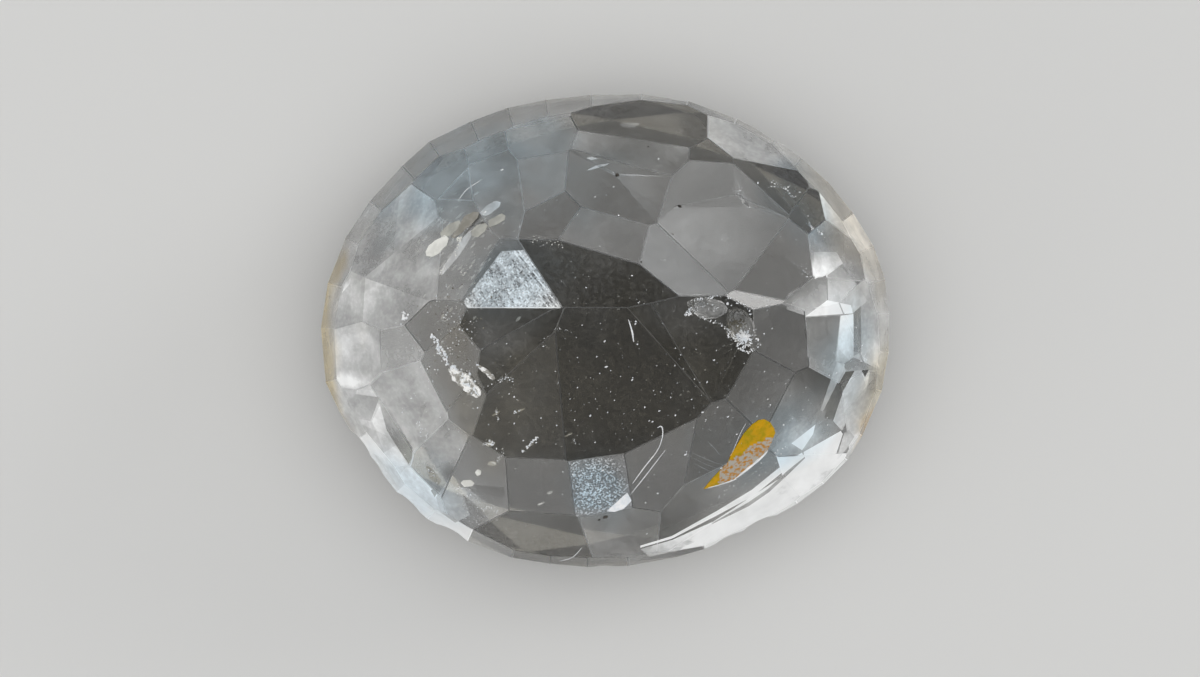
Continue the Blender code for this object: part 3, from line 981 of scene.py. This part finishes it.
def corundum(name, haze_plus, rough, rough_more, bump):
    """One finish of the stone: how hazy and how rough it is, and its fine relief."""
    material, tree, shader = principled(name)
    place = node(tree, "ShaderNodeTexCoord").outputs["Object"]
    haze_and_painted_light = node(tree, "ShaderNodeAttribute", attribute_name="haze_and_painted_light").outputs["Fac"]
    cloud = noise_node(tree, place, CLOUD_SCALE, 3, 0.6, 0.4)
    grains = noise_node(tree, place, GRAIN_SCALE, 2, 0.6)
    cloudy = stretch(tree, cloud, 0.3, 0.7, *CLOUDY)
    grainy = stretch(tree, grains, 0.4, 0.72, 0, 1)
    number = node(tree, "ShaderNodeAttribute", attribute_name="pane").outputs["Fac"]
    own = vector_node(tree, "ADD", place, math_node(tree, "MULTIPLY", number, PANES_APART))
    panes = node(tree, "ShaderNodeTexVoronoi")
    tree.links.new(own, panes.inputs["Vector"])
    panes.inputs["Scale"].default_value = PANE_SCALE
    paned = stretch(tree, panes.outputs["Color"], 0.1, 0.9, *PANED)
    patches = math_node(tree, "MULTIPLY", paned, cloudy)
    worked = math_node(tree, "ADD", haze_and_painted_light, haze_plus)
    uneven = math_node(tree, "MULTIPLY", worked, patches)
    most_dust = math_node(tree, "MULTIPLY_ADD", haze_and_painted_light, DUST_BY_HAZE, DUST)
    dusty = math_node(tree, "ADD", uneven, math_node(tree, "MULTIPLY", grainy, most_dust))
    more = stretch(tree, haze_and_painted_light, WHITENED_FROM, WHITENED_FULL, 0, WHITENED_MORE)
    whitened = math_node(tree, "ADD", dusty, more)
    clear = math_node(tree, "SUBTRACT", 1.0, whitened, clamp=True)
    tree.links.new(clear, shader.inputs["Transmission Weight"])
    roughness = math_node(tree, "MULTIPLY_ADD", cloud, rough_more, rough)
    tree.links.new(roughness, shader.inputs["Roughness"])
    tint = node(tree, "ShaderNodeAttribute", attribute_name="tint").outputs["Color"]
    mottled = vector_node(tree, "SCALE", tint, stretch(tree, cloud, 0.3, 0.7, *MOTTLED))
    tree.links.new(mottled, shader.inputs["Base Color"])
    shader.inputs["IOR"].default_value = INDEX
    if bump:
        fine_relief(tree, shader, grains, bump)
    volume = node(tree, "ShaderNodeVolumeAbsorption")
    volume.inputs["Color"].default_value = GREY_AND_PAINTED_SHADE
    volume.inputs["Density"].default_value = STONE_DEPTH
    tree.links.new(volume.outputs[0], tree.nodes["Material Output"].inputs["Volume"])
    return material


polished = corundum("polished_corundum", 0.0, 0.04, 0.12, 0.0)
worn_strip = corundum("worn_edge", 0.0, 0.3, 0.2, 0.3)
frosted = corundum("frosted_corundum", 0.0, 0.08, 0.1, 0.3)
etched = corundum("etched_corundum", 0.0, 0.06, 0.1, 0.3)
sugary = corundum("sugary_hollow", 0.2, 0.15, 0.15, 0.5)

body = add_piece("sapphire_body", gem, polished, worn_strip, frosted, etched, sugary)
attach(body, "root")
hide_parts("white_sapphire")

# %% [markdown]
# What lies in the stone is seen through its skin, which bends the view. To place an inclusion where
# the eye finds it, the straight view down is bent at the facet by the law of refraction and followed
# to the inclusion's depth. A depth just above the skin is for a crack or crust that comes out of it.

# %% Find a place in the stone as it is seen from above
# This depth is a hair above the skin.
FLUSH = -0.004


def seen(east, north, depth):
    """The place so many mm under the skin that shows here from above, and the skin's direction."""
    skin, outward, _ = under(facet_tree, east, north)
    view = Vector((0, 0, -1))
    if depth < 0:
        return skin - outward * depth * MM, outward
    bend = 1 / INDEX
    level = -view.dot(outward)
    inward = view * bend + outward * (bend * level - math.sqrt(1 - bend ** 2 * (1 - level ** 2)))
    return skin + inward.normalized() * depth * MM, outward


def frame_on(outward, azimuth):
    """Two directions along a facet, the first as near as it can be to an azimuth, and its outward one."""
    wanted = towards(azimuth, 0)
    along = (wanted - outward * wanted.dot(outward)).normalized()
    return Matrix((along, outward.cross(along), outward)).transposed().to_4x4()


# %% [markdown]
# Four small shapes build every inclusion: a grain, which is a lumpy ball; a flake, which is a thin
# lens; a thread, which is a tube along points; and a plate, which is a flat outline cut into a net,
# laid on the facets and given a thickness. Each adds itself to a mesh, so that a whole family of
# inclusions becomes one piece.

# %% Shapes for inclusions
PLATE_NET = 0.045
PLATE_SNAP = 0.001
LUMPY = 0.45
LINE_STEPS = 6
THREAD_SIDES = 6
THREAD_LUMPY = 0.25
THREAD_LEAST = 0.004


def ball(subdivisions):
    """Points and sides of a unit ball, kept to be copied."""
    made = bmesh.new()
    bmesh.ops.create_icosphere(made, subdivisions=subdivisions, radius=1)
    points = [vert.co.copy() for vert in made.verts]
    sides = [[vert.index for vert in face.verts] for face in made.faces]
    made.free()
    return points, sides


SMALL_BALL = ball(1)
ROUND_BALL = ball(2)


def add_ball(mesh_maker, ball_shape, seat, form, azimuth, lump, number):
    """Copies a ball to its seat, this long, wide and thick in mm, with a lump to push each point by."""
    place, outward = seen(*seat)
    size = Matrix.Diagonal((*(side * MM / 2 for side in form), 1))
    turn = Matrix.Translation(place) @ frame_on(outward, azimuth) @ size
    points, sides = ball_shape
    verts = [mesh_maker.verts.new(turn @ (point * (1 + LUMPY * lump(point)))) for point in points]
    for side in sides:
        mesh_maker.faces.new([verts[corner] for corner in side]).material_index = number


def grain(mesh_maker, east, north, depth, size, number=0, long=1.0, azimuth=0, flat=1.0):
    """A lumpy crystal grain of this size, in mm, stretched along an azimuth."""
    form = (long * size, size, flat * size)

    def lump(point):
        return noise.noise(point * 1.7 + Vector((east, north, size)) * 9)

    add_ball(mesh_maker, SMALL_BALL, (east, north, depth), form, azimuth, lump, number)


def flake(mesh_maker, east, north, depth, length, width, azimuth, thick=0.02):
    """A thin lens with a ragged rim."""

    def lump(point):
        return noise.noise(point * 1.5 + Vector((east, north, 0)) * 5)

    add_ball(mesh_maker, ROUND_BALL, (east, north, depth), (length, width, thick), azimuth, lump, 0)


def smooth_line(points):
    """Points of a smooth curve through points given as (east, north, size)."""
    points = [Vector(point) for point in points]
    ends = [points[0] * 2 - points[1], *points, points[-1] * 2 - points[-2]]
    line = []
    for before, start, end, after in zip(ends, ends[1:], ends[2:], ends[3:]):
        for step in range(LINE_STEPS):
            t = step / LINE_STEPS
            bend = (end - before) * t + (before * 2 - start * 5 + end * 4 - after) * t ** 2
            line.append(start + (bend + (start * 3 - before - end * 3 + after) * t ** 3) / 2)
    return line + [points[-1]]


def thread(mesh_maker, points, depth, number=0):
    """A tube along points given as (east, north, thickness), in mm."""
    line = smooth_line(points)
    rings = []
    for step, point in enumerate(line):
        place, outward = seen(point.x, point.y, depth)
        ahead = line[min(step + 1, len(line) - 1)] - line[max(step - 1, 0)]
        turn = frame_on(outward, math.degrees(math.atan2(ahead.y, ahead.x)))
        size = max(point.z, THREAD_LEAST) * MM / 2 * (1 + THREAD_LUMPY * noise.noise(point * 6))
        ring = []
        for side in range(THREAD_SIDES):
            angle = 2 * math.pi * side / THREAD_SIDES
            across = Vector((0, math.cos(angle) * size, math.sin(angle) * size))
            ring.append(mesh_maker.verts.new(place + turn.to_3x3() @ across))
        rings.append(ring)
    for first, second in zip(rings, rings[1:]):
        for side in range(THREAD_SIDES):
            after = (side + 1) % THREAD_SIDES
            wall = mesh_maker.faces.new((first[side], first[after], second[after], second[side]))
            wall.material_index = number
    mesh_maker.faces.new(list(reversed(rings[0]))).material_index = number
    mesh_maker.faces.new(rings[-1]).material_index = number


def one_finish(number):
    """A rule that gives every face of a plate the same material."""
    return lambda place: number


def plate(mesh_maker, outline, depth, thick, paint_of, relief=0.0):
    """A thin plate inside an outline, laid under or on the skin."""
    sheet = bmesh.new()
    sheet.faces.new([sheet.verts.new((east, north, 0)) for east, north in outline])
    low, high = reach_of(outline)
    for axis in (0, 1):
        across = Vector((1 - axis, axis, 0))
        for cut in range(1, int((high[axis] - low[axis]) / PLATE_NET) + 1):
            place = across * (low[axis] + cut * PLATE_NET)
            saw(sheet, sheet.faces[:], place, across, PLATE_SNAP)
    top, bottom = {}, {}
    for vert in sheet.verts:
        place, outward = seen(vert.co.x, vert.co.y, depth)
        lift = relief * (0.5 + noise.noise(vert.co * 9) + 0.5 * noise.noise(vert.co * 21))
        top[vert] = mesh_maker.verts.new(place + outward * lift * MM)
        bottom[vert] = mesh_maker.verts.new(place - outward * thick * MM)
    for face in sheet.faces:
        number = paint_of(face.calc_center_median())
        upper = mesh_maker.faces.new([top[vert] for vert in face.verts])
        lower = mesh_maker.faces.new([bottom[vert] for vert in reversed(face.verts)])
        upper.material_index = lower.material_index = number
    for edge in sheet.edges:
        if edge.is_boundary:
            first, second = edge.verts
            side = mesh_maker.faces.new((top[first], top[second], bottom[second], bottom[first]))
            side.material_index = paint_of((first.co + second.co) / 2)
    sheet.free()
    bmesh.ops.recalc_face_normals(mesh_maker, faces=mesh_maker.faces[:])


def settle(name, mesh_maker, *materials):
    """Makes a family of inclusions one piece that moves with the stone."""
    piece = add_piece(name, mesh_maker, *materials)
    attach(piece, "root")


# %% [markdown]
# What the inclusions are made of. Small white crystals and crusts are chalky with a little gloss,
# the brown grains are earth in old pits, the amber film is iron stain in a crack, and the rust crust
# is the same stain, dried in patches on white. Each colour is broken up by noise at the size of
# its own grains.

# %% Materials of the inclusions


def mineral(name, first, second, scale, rough, sharp=(0.4, 0.6), bump=0.4, gloss=0.5):
    """A mineral of two mottled colours with a fine relief."""
    material, tree, shader = principled(name)
    shader.inputs["Specular IOR Level"].default_value = gloss
    place = node(tree, "ShaderNodeTexCoord").outputs["Object"]
    mottle = stretch(tree, noise_node(tree, place, scale, 3, 0.6), *sharp, 0, 1)
    tree.links.new(mix_colour(tree, mottle, first, second), shader.inputs["Base Color"])
    worked = stretch(tree, noise_node(tree, place, scale * 2, 2), 0.3, 0.7, rough * 0.7, rough * 1.2)
    tree.links.new(worked, shader.inputs["Roughness"])
    fine_relief(tree, shader, noise_node(tree, place, scale * 3, 3), bump)
    return material


white_crystal = mineral("white_crystal", (0.95, 0.96, 0.97, 1), (0.78, 0.82, 0.86, 1), 9000, 0.3)
bright_silk = mineral("bright_silk", (0.8, 0.8, 0.76, 1), (0.68, 0.68, 0.64, 1), 4000, 0.5, gloss=0.2)
silk = mineral("pale_silk", (0.44, 0.44, 0.4, 1), (0.34, 0.34, 0.31, 1), 4000, 0.5, gloss=0.2)
brown_silk = mineral("brown_silk", (0.3, 0.29, 0.26, 1), (0.24, 0.23, 0.2, 1), 4000, 0.5, gloss=0.2)
earth = mineral(
    "brown_earth", (0.13, 0.115, 0.085, 1), (0.27, 0.26, 0.22, 1), 2600, 0.5, sharp=(0.3, 0.7), gloss=0.15
)
chalk = mineral(
    "broken_crust", (0.3, 0.29, 0.26, 1), (0.95, 0.95, 0.93, 1), 6000, 0.4, sharp=(0.42, 0.56), bump=0.8
)
amber = mineral(
    "amber_film", (0.36, 0.27, 0.003, 1), (0.58, 0.31, 0.002, 1), 3500, 0.3,
    sharp=(0.35, 0.65), bump=0.2, gloss=0.12,
)
rust = mineral(
    "rust_crust", (0.42, 0.39, 0.34, 1), (0.45, 0.2, 0.012, 1), 12000, 0.4, sharp=(0.46, 0.58), gloss=0.3
)
dark = mineral("dark_mineral", (0.012, 0.01, 0.008, 1), (0.05, 0.04, 0.03, 1), 6000, 0.4)

# %% [markdown]
# The amber leaf. A crack in the south east is stained by iron: a smooth amber film in its upper part
# and a crust of rust and white below, with a bright white lip where the crack comes out. Its outline
# is one plate, and the line between film and crust parts its faces.

# %% The amber leaf
LEAF = (
    (2.18, -3.55), (2.39, -3.29), (2.74, -2.92), (2.79, -2.77), (2.9, -2.6), (3.08, -2.29),
    (3.27, -2.08), (3.42, -1.98), (3.55, -1.96), (3.68, -2.03), (3.78, -2.17), (3.8, -2.27),
    (3.73, -2.46), (3.6, -2.73), (3.41, -2.89), (3.26, -3.03), (2.98, -3.25), (2.94, -3.31),
    (2.61, -3.42), (2.31, -3.53),
)
LEAF_TAIL_END = 2.52
LEAF_PARTING = ((2.6, -3.06), (2.75, -2.92), (3.11, -2.67), (3.33, -2.51), (3.48, -2.43), (3.8, -2.38))
# The lip and the tail are threads: east, north and thickness.
LEAF_LIP = (
    (2.86, -3.33, 0.02), (2.98, -3.25, 0.05), (3.14, -3.12, 0.075), (3.4, -2.9, 0.075),
    (3.58, -2.74, 0.05), (3.64, -2.66, 0.02),
)
LEAF_TAIL = ((2.19, -3.55, 0.01), (2.45, -3.48, 0.03), (2.75, -3.39, 0.03), (2.92, -3.32, 0.04))


def film_or_crust(place):
    """0 on the film, above the parting line, and 1 on the crust below it."""
    ragged_side = place.y + 0.08 * noise.noise(place * 9)
    film = ragged_side > between(LEAF_PARTING, place.x) and place.x > LEAF_PARTING[1][0] - 0.05
    tail = place.x + 0.15 * noise.noise(place * 12) < LEAF_TAIL_END
    return 0 if film or tail else 1


leaf = bmesh.new()
plate(leaf, LEAF, FLUSH, 0.03, film_or_crust, relief=0.012)
thread(leaf, LEAF_LIP, FLUSH, number=2)
thread(leaf, LEAF_TAIL, FLUSH, number=2)
settle("amber_leaf", leaf, amber, rust, white_crystal)

# %% [markdown]
# The crust on the west side is two ragged white plates beside an old brown pit. Grains strewn along
# lines make their edges crumbly, where a smooth tube would look like a worm. The pit itself is one
# of the stone's tints, with white and brown grains scattered over it.

# %% The white crust and the grains of the pit
chance = random.Random(11)
RIM_STEP = 0.04
CRUST = (
    (-3.61, -0.8), (-3.45, -0.78), (-3.3, -0.88), (-3.15, -0.95), (-3.03, -1.08), (-2.9, -1.22),
    (-2.88, -1.4), (-2.98, -1.46), (-3.19, -1.35), (-3.44, -1.1), (-3.59, -0.91),
)
CRUST_TWO = (
    (-2.95, -0.74), (-2.86, -0.7), (-2.66, -0.88), (-2.54, -1.02), (-2.6, -1.07), (-2.78, -0.93),
)
CRUST_LINE = ((-3.99, -0.08), (-3.84, -0.24), (-3.72, -0.5), (-3.6, -0.75))
CRUST_EDGE = ((-3.5, -0.8), (-3.2, -1.1), (-2.9, -1.4))
PIT_GRAINS = 260
PIT_MIDDLE = (-3.5, 0.0)
PIT_SPREAD = (0.35, 0.55)
PIT_EARTH = 0.55


def strew(mesh_maker, line, width, count, size, number=0):
    """Strews grains along a line, thickest in its middle."""
    points = smooth_line([(east, north, 0) for east, north in line])
    for _ in range(count):
        share = chance.random()
        place = points[int(share * (len(points) - 1))]
        thin = 0.35 + 0.65 * math.sin(math.pi * share)
        east = place.x + chance.gauss(0, width * thin / 3)
        north = place.y + chance.gauss(0, width * thin / 3)
        grain(mesh_maker, east, north, chance.uniform(-0.01, 0.03), size * chance.uniform(0.4, 1.3), number)


def ragged(outline, torn=0.05):
    """An outline with more points, each moved a little by noise, as a broken rim is."""
    places = []
    for (east, north), (next_east, next_north) in sides_of(outline):
        parts = max(1, int(math.hypot(next_east - east, next_north - north) / RIM_STEP))
        for part in range(parts):
            place = Vector((east, north, 0)).lerp(Vector((next_east, next_north, 0)), part / parts)
            move = noise.noise_vector(place * 7) * torn
            places.append((place.x + move.x, place.y + move.y))
    return tuple(places)


def pit_places():
    """Places strewn over the pit by the seeded chance."""
    return [tuple(map(chance.gauss, PIT_MIDDLE, PIT_SPREAD)) for _ in range(PIT_GRAINS)]


crust = bmesh.new()
plate(crust, ragged(CRUST), FLUSH, 0.04, one_finish(2), relief=0.05)
plate(crust, ragged(CRUST_TWO), FLUSH, 0.03, one_finish(2), relief=0.03)
strew(crust, CRUST_LINE, 0.12, 90, 0.06)
strew(crust, CRUST_EDGE, 0.2, 160, 0.07)
strew(crust, [CRUST_TWO[0], CRUST_TWO[3]], 0.1, 40, 0.05)
for east, north in pit_places():
    number = 1 if chance.random() < PIT_EARTH else 0
    grain(crust, east, north, chance.uniform(-0.004, 0.04), chance.uniform(0.02, 0.05), number)
settle("west_crust", crust, white_crystal, earth, chalk)

# %% [markdown]
# Silk. Flat pale flakes lie in the north west, most of them turned the same way because they follow the
# crystal's own planes, and a few smaller ones lie in the south west. The large ones are plates on the skin,
# with outlines picked on the photo. The small ones are thin lenses.

# %% The silk flakes
# Each leaf: which of the three silks it is, and its outline.
LEAVES = {
    "white_leaf": (0, (
        (-4.13, 1.84), (-4.06, 1.98), (-3.88, 2.12), (-3.69, 2.21), (-3.60, 2.14), (-3.65, 1.98),
        (-3.81, 1.82), (-3.97, 1.73), (-4.11, 1.75),
    )),
    "cream_leaf": (1, (
        (-3.81, 2.23), (-3.72, 2.37), (-3.56, 2.48), (-3.37, 2.55), (-3.33, 2.46), (-3.42, 2.35),
        (-3.56, 2.19), (-3.76, 2.16),
    )),
    "brown_leaf": (2, (
        (-3.35, 2.51), (-3.24, 2.64), (-3.05, 2.74), (-2.92, 2.71), (-2.94, 2.60), (-3.10, 2.44),
        (-3.31, 2.26), (-3.47, 2.14), (-3.56, 2.16), (-3.42, 2.35),
    )),
    "small_leaf": (1, (
        (-3.10, 2.30), (-2.96, 2.44), (-2.78, 2.48), (-2.71, 2.42), (-2.78, 2.30), (-2.94, 2.16),
        (-3.08, 2.19),
    )),
    "striped_leaf": (1, (
        (-2.71, 2.53), (-2.53, 2.64), (-2.39, 2.71), (-2.32, 2.64), (-2.35, 2.53), (-2.53, 2.44),
        (-2.69, 2.39),
    )),
    "white_oval": (0, (
        (-3.35, -3.42), (-3.29, -3.36), (-3.12, -3.34), (-3.04, -3.41), (-3.09, -3.48), (-3.26, -3.50),
    )),
    "white_blob": (0, ((-3.02, -3.18), (-2.96, -3.11), (-2.88, -3.13), (-2.89, -3.22), (-2.97, -3.26))),
}
# Flakes of the south west: place, length, width and azimuth.
SMALL_SILK = (
    (-2.53, -1.83, 0.22, 0.05, 40), (-1.98, -1.76, 0.2, 0.05, 35), (-0.89, -2.31, 0.2, 0.05, 30),
    (-1.78, -2.56, 0.2, 0.05, 30), (-2.67, -2.52, 0.24, 0.14, 20), (-2.62, -2.97, 0.24, 0.14, 20),
    (-1.32, -3.63, 0.16, 0.08, 40), (-1.53, -3.89, 0.2, 0.06, 40),
)


# Flakes strewn in the north west by chance: how many, and their middle and spread.
STREWN_SILK = 150
SILK_MIDDLE = (-3.6, 2.0)
SILK_SPREAD = (0.7, 0.8)
# Sparkling grains lie along the ribbon, between the leaves and the brown pit, and north of the
# frosted facet. Each group: how many, how wide it spreads, the size of its grains and its line.
SILK_GRAINS = (
    (60, 0.12, 0.03, ((-3.8, 1.35), (-3.5, 1.75), (-3.3, 2.1))),
    (130, 0.7, 0.022, ((-3.3, 1.3), (-3.1, 1.5), (-3.0, 1.6))),
    (14, 0.08, 0.06, ((-3.4, 2.15), (-3.33, 2.1))),
    (60, 0.25, 0.025, ((-1.75, 2.1), (-1.4, 2.05), (-1.0, 1.95))),
)

flakes = bmesh.new()
for number, outline in LEAVES.values():
    plate(flakes, ragged(outline, torn=0.02), FLUSH, 0.02, one_finish(number), relief=0.005)
for east, north, length, width, azimuth in SMALL_SILK:
    flake(flakes, east, north, 0.01, length, width, azimuth)
for _ in range(STREWN_SILK):
    east, north = map(chance.gauss, SILK_MIDDLE, SILK_SPREAD)
    if math.hypot(east / 6, north / 5) < 0.92:
        length = chance.uniform(0.05, 0.18)
        depth = chance.uniform(0.02, 0.3)
        flake(flakes, east, north, depth, length, length * 0.35, chance.gauss(38, 6), thick=0.01)
for count, width, size, line in SILK_GRAINS:
    strew(flakes, line, width, count, size)
settle("silk_flakes", flakes, bright_silk, silk, brown_silk)

# %% [markdown]
# Growth tubes and cracks. Some are hollow needles left while the crystal grew, others are scratches
# that came later. Both are threads, thin at their ends. A small white wedge and two dark grains lie
# beside them in the south.

# %% The growth tubes and scratches
# The points of each: east, north and thickness.
TUBES = {
    "hook": (
        (1.12, -2.15, 0.015), (1.2, -2.12, 0.03), (1.24, -2.2, 0.025), (1.22, -2.42, 0.018),
        (1.1, -2.7, 0.02), (0.85, -3.02, 0.026), (0.56, -3.42, 0.015),
    ),
    "second": ((1.3, -2.66, 0.01), (1.1, -2.92, 0.016), (0.85, -3.25, 0.022), (0.51, -3.68, 0.01)),
    "needle": ((0.46, 0.3, 0.01), (0.5, 0.18, 0.03), (0.55, 0.0, 0.035), (0.58, -0.2, 0.015)),
    "hairline": ((3.13, -2.06, 0.008), (3.0, -2.3, 0.014), (2.8, -2.78, 0.008)),
    "scratch_south": ((-1.09, -5.22, 0.01), (-0.8, -5.12, 0.02), (-0.59, -4.9, 0.01)),
    "scratch_north_west": ((-3.4, 3.0, 0.01), (-3.2, 3.25, 0.018), (-2.9, 3.45, 0.01)),
}
# Fine lines that fan out deeper in the stone, so they show faintly.
FAN_DEPTH = 0.25
FAN = {
    "fan_1": ((1.9, -2.72, 0.008), (2.3, -2.9, 0.014), (2.75, -3.05, 0.008)),
    "fan_2": ((1.92, -2.84, 0.008), (2.3, -3.02, 0.014), (2.6, -3.12, 0.008)),
    "fan_3": ((1.95, -2.96, 0.008), (2.25, -3.12, 0.012), (2.45, -3.2, 0.008)),
    "fan_4": ((2.26, -2.47, 0.008), (2.4, -2.6, 0.014), (2.54, -2.77, 0.008)),
}
WEDGE = ((-0.02, -4.05), (0.2, -3.85), (0.44, -3.63), (0.54, -3.82), (0.36, -4.0), (0.15, -4.07))
# The dark grains: place, width and how many times as long.
DARK_GRAINS = ((-0.06, -4.2, 0.09, 1.6), (-0.2, -4.26, 0.05, 1.8))
tubes = bmesh.new()
for points in TUBES.values():
    thread(tubes, points, FLUSH)
for points in FAN.values():
    thread(tubes, points, FAN_DEPTH)
plate(tubes, WEDGE, FLUSH, 0.03, one_finish(0), relief=0.01)
for east, north, size, long in DARK_GRAINS:
    grain(tubes, east, north, FLUSH, size, number=1, long=long, azimuth=40, flat=0.4)
settle("growth_tubes", tubes, white_crystal, dark)

# %% [markdown]
# Pinpoints are tiny crystals that glint all through the stone, most of them in the middle and the
# south east. Their places come from a seeded chance, so the stone is the same each time. A few
# larger specks are dark, and have places of their own.

# %% The pinpoints
# How many, middle east and north, spread east and north.
PINPOINT_CLOUDS = (
    (280, 2.6, -1.8, 1.5, 1.2), (170, 0.2, -1.2, 1.6, 1.2), (120, -2.6, -1.6, 0.9, 0.9),
    (260, 0.0, 0.0, 3.4, 2.8), (40, 4.2, 3.3, 0.35, 0.25), (35, 4.7, 2.4, 0.25, 0.3),
    (40, -2.6, 2.2, 0.7, 0.6), (60, 3.4, -3.4, 1.0, 0.6),
)
# Pinpoints stay within this share of an oval of these half sides.
PINPOINT_OVAL = (6.2, 5.1)
PINPOINT_SHARE = 0.95
PINPOINT_LEAST = 0.011
PINPOINT_MORE = 0.03
PINPOINTS_FLUSH = 0.45
# Dark specks: place and size.
DARK_SPECKS = (
    (0.21, 3.58, 0.1), (1.63, 2.87, 0.1), (0.92, 4.23, 0.05), (1.47, 2.23, 0.05), (0.75, 1.6, 0.05),
    (-0.4, -1.9, 0.04),
)
pins = bmesh.new()
for count, east, north, spread_east, spread_north in PINPOINT_CLOUDS:
    for _ in range(count):
        place = Vector((chance.gauss(east, spread_east), chance.gauss(north, spread_north)))
        if math.hypot(place.x / PINPOINT_OVAL[0], place.y / PINPOINT_OVAL[1]) > PINPOINT_SHARE:
            continue
        size = PINPOINT_LEAST + PINPOINT_MORE * chance.random() ** 3
        depth = FLUSH if chance.random() < PINPOINTS_FLUSH else chance.uniform(0.02, 0.8)
        long, azimuth = chance.uniform(1, 2.2), chance.gauss(40, 25)
        grain(pins, place.x, place.y, depth, size, long=long, azimuth=azimuth)
for east, north, size in DARK_SPECKS:
    grain(pins, east, north, FLUSH, size, number=1, flat=0.4)
settle("pinpoint_crystals", pins, white_crystal, dark)

# %% [markdown]
# Small crystals sit in groups, most of them in the south west and the west and the rest along the
# east. Each group is grains strewn along a line.

# %% The groups of small crystals
# Each group: how many, how wide it spreads, the size of its grains, and the line it follows.
GROUPS = {
    "west_crystal": (16, 0.12, 0.07, ((-4.62, 0.45), (-4.6, 0.28))),
    "west_dots": (90, 0.9, 0.025, ((-3.6, 0.7), (-3.4, 0.3), (-3.4, -0.1))),
    "west_mist": (60, 0.8, 0.02, ((-4.6, 0.1), (-4.3, -0.5))),
    "bubble_rim": (26, 0.05, 0.03, ((-2.53, -1.7), (-2.52, -1.85), (-2.45, -2.0))),
    "bubble_glint": (16, 0.1, 0.035, ((-2.12, -1.8), (-1.95, -1.74))),
    "under_crust": (40, 0.12, 0.03, ((-2.45, -1.1), (-2.3, -1.02), (-2.1, -1.08))),
    "ring_west": (30, 0.06, 0.03, ((-2.85, -2.55), (-2.72, -2.45), (-2.55, -2.5))),
    "ring_east": (34, 0.07, 0.03, ((-2.5, -2.9), (-2.4, -2.75), (-2.38, -2.6))),
    "ring_heart": (14, 0.08, 0.05, ((-2.68, -2.45), (-2.62, -2.55))),
    "south_west_glints": (40, 0.2, 0.03, ((-4.3, -2.0), (-4.25, -2.25), (-4.1, -2.4))),
    "dark_crystal_glints": (22, 0.12, 0.035, ((-4.1, -3.1), (-3.95, -3.25), (-3.8, -3.45))),
    "foot_glints": (70, 0.3, 0.03, ((-3.4, -3.55), (-3.1, -3.7), (-2.8, -3.9), (-2.5, -4.1))),
    "foot_mist": (60, 0.7, 0.022, ((-3.2, -4.1), (-2.7, -4.2))),
    "cream_streak": (30, 0.07, 0.05, ((-1.94, -2.7), (-1.76, -2.52), (-1.57, -2.34))),
    "small_fleck": (10, 0.05, 0.03, ((-0.8, -2.4), (-0.72, -2.55))),
    "middle_wisp": (30, 0.12, 0.02, ((-1.5, -0.2), (-1.1, 0.1), (-0.8, 0.0))),
    "north_flecks": (40, 0.12, 0.035, ((3.75, 3.45), (4.0, 3.3), (4.25, 3.05))),
    "north_east_fleck": (26, 0.1, 0.04, ((4.53, 2.48), (4.7, 2.35), (4.9, 2.2))),
    "pits_north_east": (40, 0.15, 0.022, ((2.87, 3.25), (3.1, 3.1), (3.3, 2.95))),
    "east_glints": (40, 0.2, 0.025, ((5.8, -0.3), (5.85, -0.6), (6.0, -0.75))),
    "east_corner_glints": (30, 0.25, 0.03, ((4.3, 1.55), (4.5, 1.4), (4.65, 1.3))),
    "line_glints": (60, 0.3, 0.025, ((4.0, -2.6), (3.3, -3.3), (2.4, -3.8))),
}
groups = bmesh.new()
for count, width, size, line in GROUPS.values():
    strew(groups, line, width, count, size)
settle("small_crystals", groups, white_crystal)

# %% [markdown]
# The unpolished cavity has bright sugar along its rims, a ball of fine white needles at its deep end
# and a brown patch between them.

# %% The sugar in the cavity
CAVITY_RIMS = (
    ((1.88, 0.72), (2.3, 0.79), (2.67, 0.79), (3.0, 0.66), (3.29, 0.41)),
    ((1.88, 0.43), (1.76, 0.43), (1.9, 0.6)),
    ((3.29, 0.06), (3.4, -0.28), (3.13, -0.42), (2.86, -0.28)),
    ((2.72, -0.1), (2.7, 0.09), (2.38, 0.25), (2.04, 0.38)),
)
CAVITY_SUGAR = ((1.95, 0.55), (2.2, 0.6), (2.5, 0.55))
CAVITY_EARTH = ((2.8, 0.25), (2.9, 0.17), (3.0, 0.1))
NEEDLES = 260
NEEDLE_BALL = (3.06, -0.12)
NEEDLE_SPREAD = 0.13
cavity = bmesh.new()
for rim in CAVITY_RIMS:
    strew(cavity, rim, 0.07, 70, 0.035)
strew(cavity, CAVITY_SUGAR, 0.25, 90, 0.03)
strew(cavity, CAVITY_EARTH, 0.3, 110, 0.05, number=1)
for _ in range(NEEDLES):
    far = abs(chance.gauss(0, NEEDLE_SPREAD))
    angle = chance.uniform(0, 2 * math.pi)
    east = NEEDLE_BALL[0] + far * math.cos(angle)
    north = NEEDLE_BALL[1] + far * math.sin(angle)
    grain(cavity, east, north, -0.05 + far * 0.25, 0.03, long=2.2, azimuth=math.degrees(angle))
grain(cavity, 2.7, 0.66, FLUSH, 0.08)
settle("cavity_sugar", cavity, white_crystal, earth)
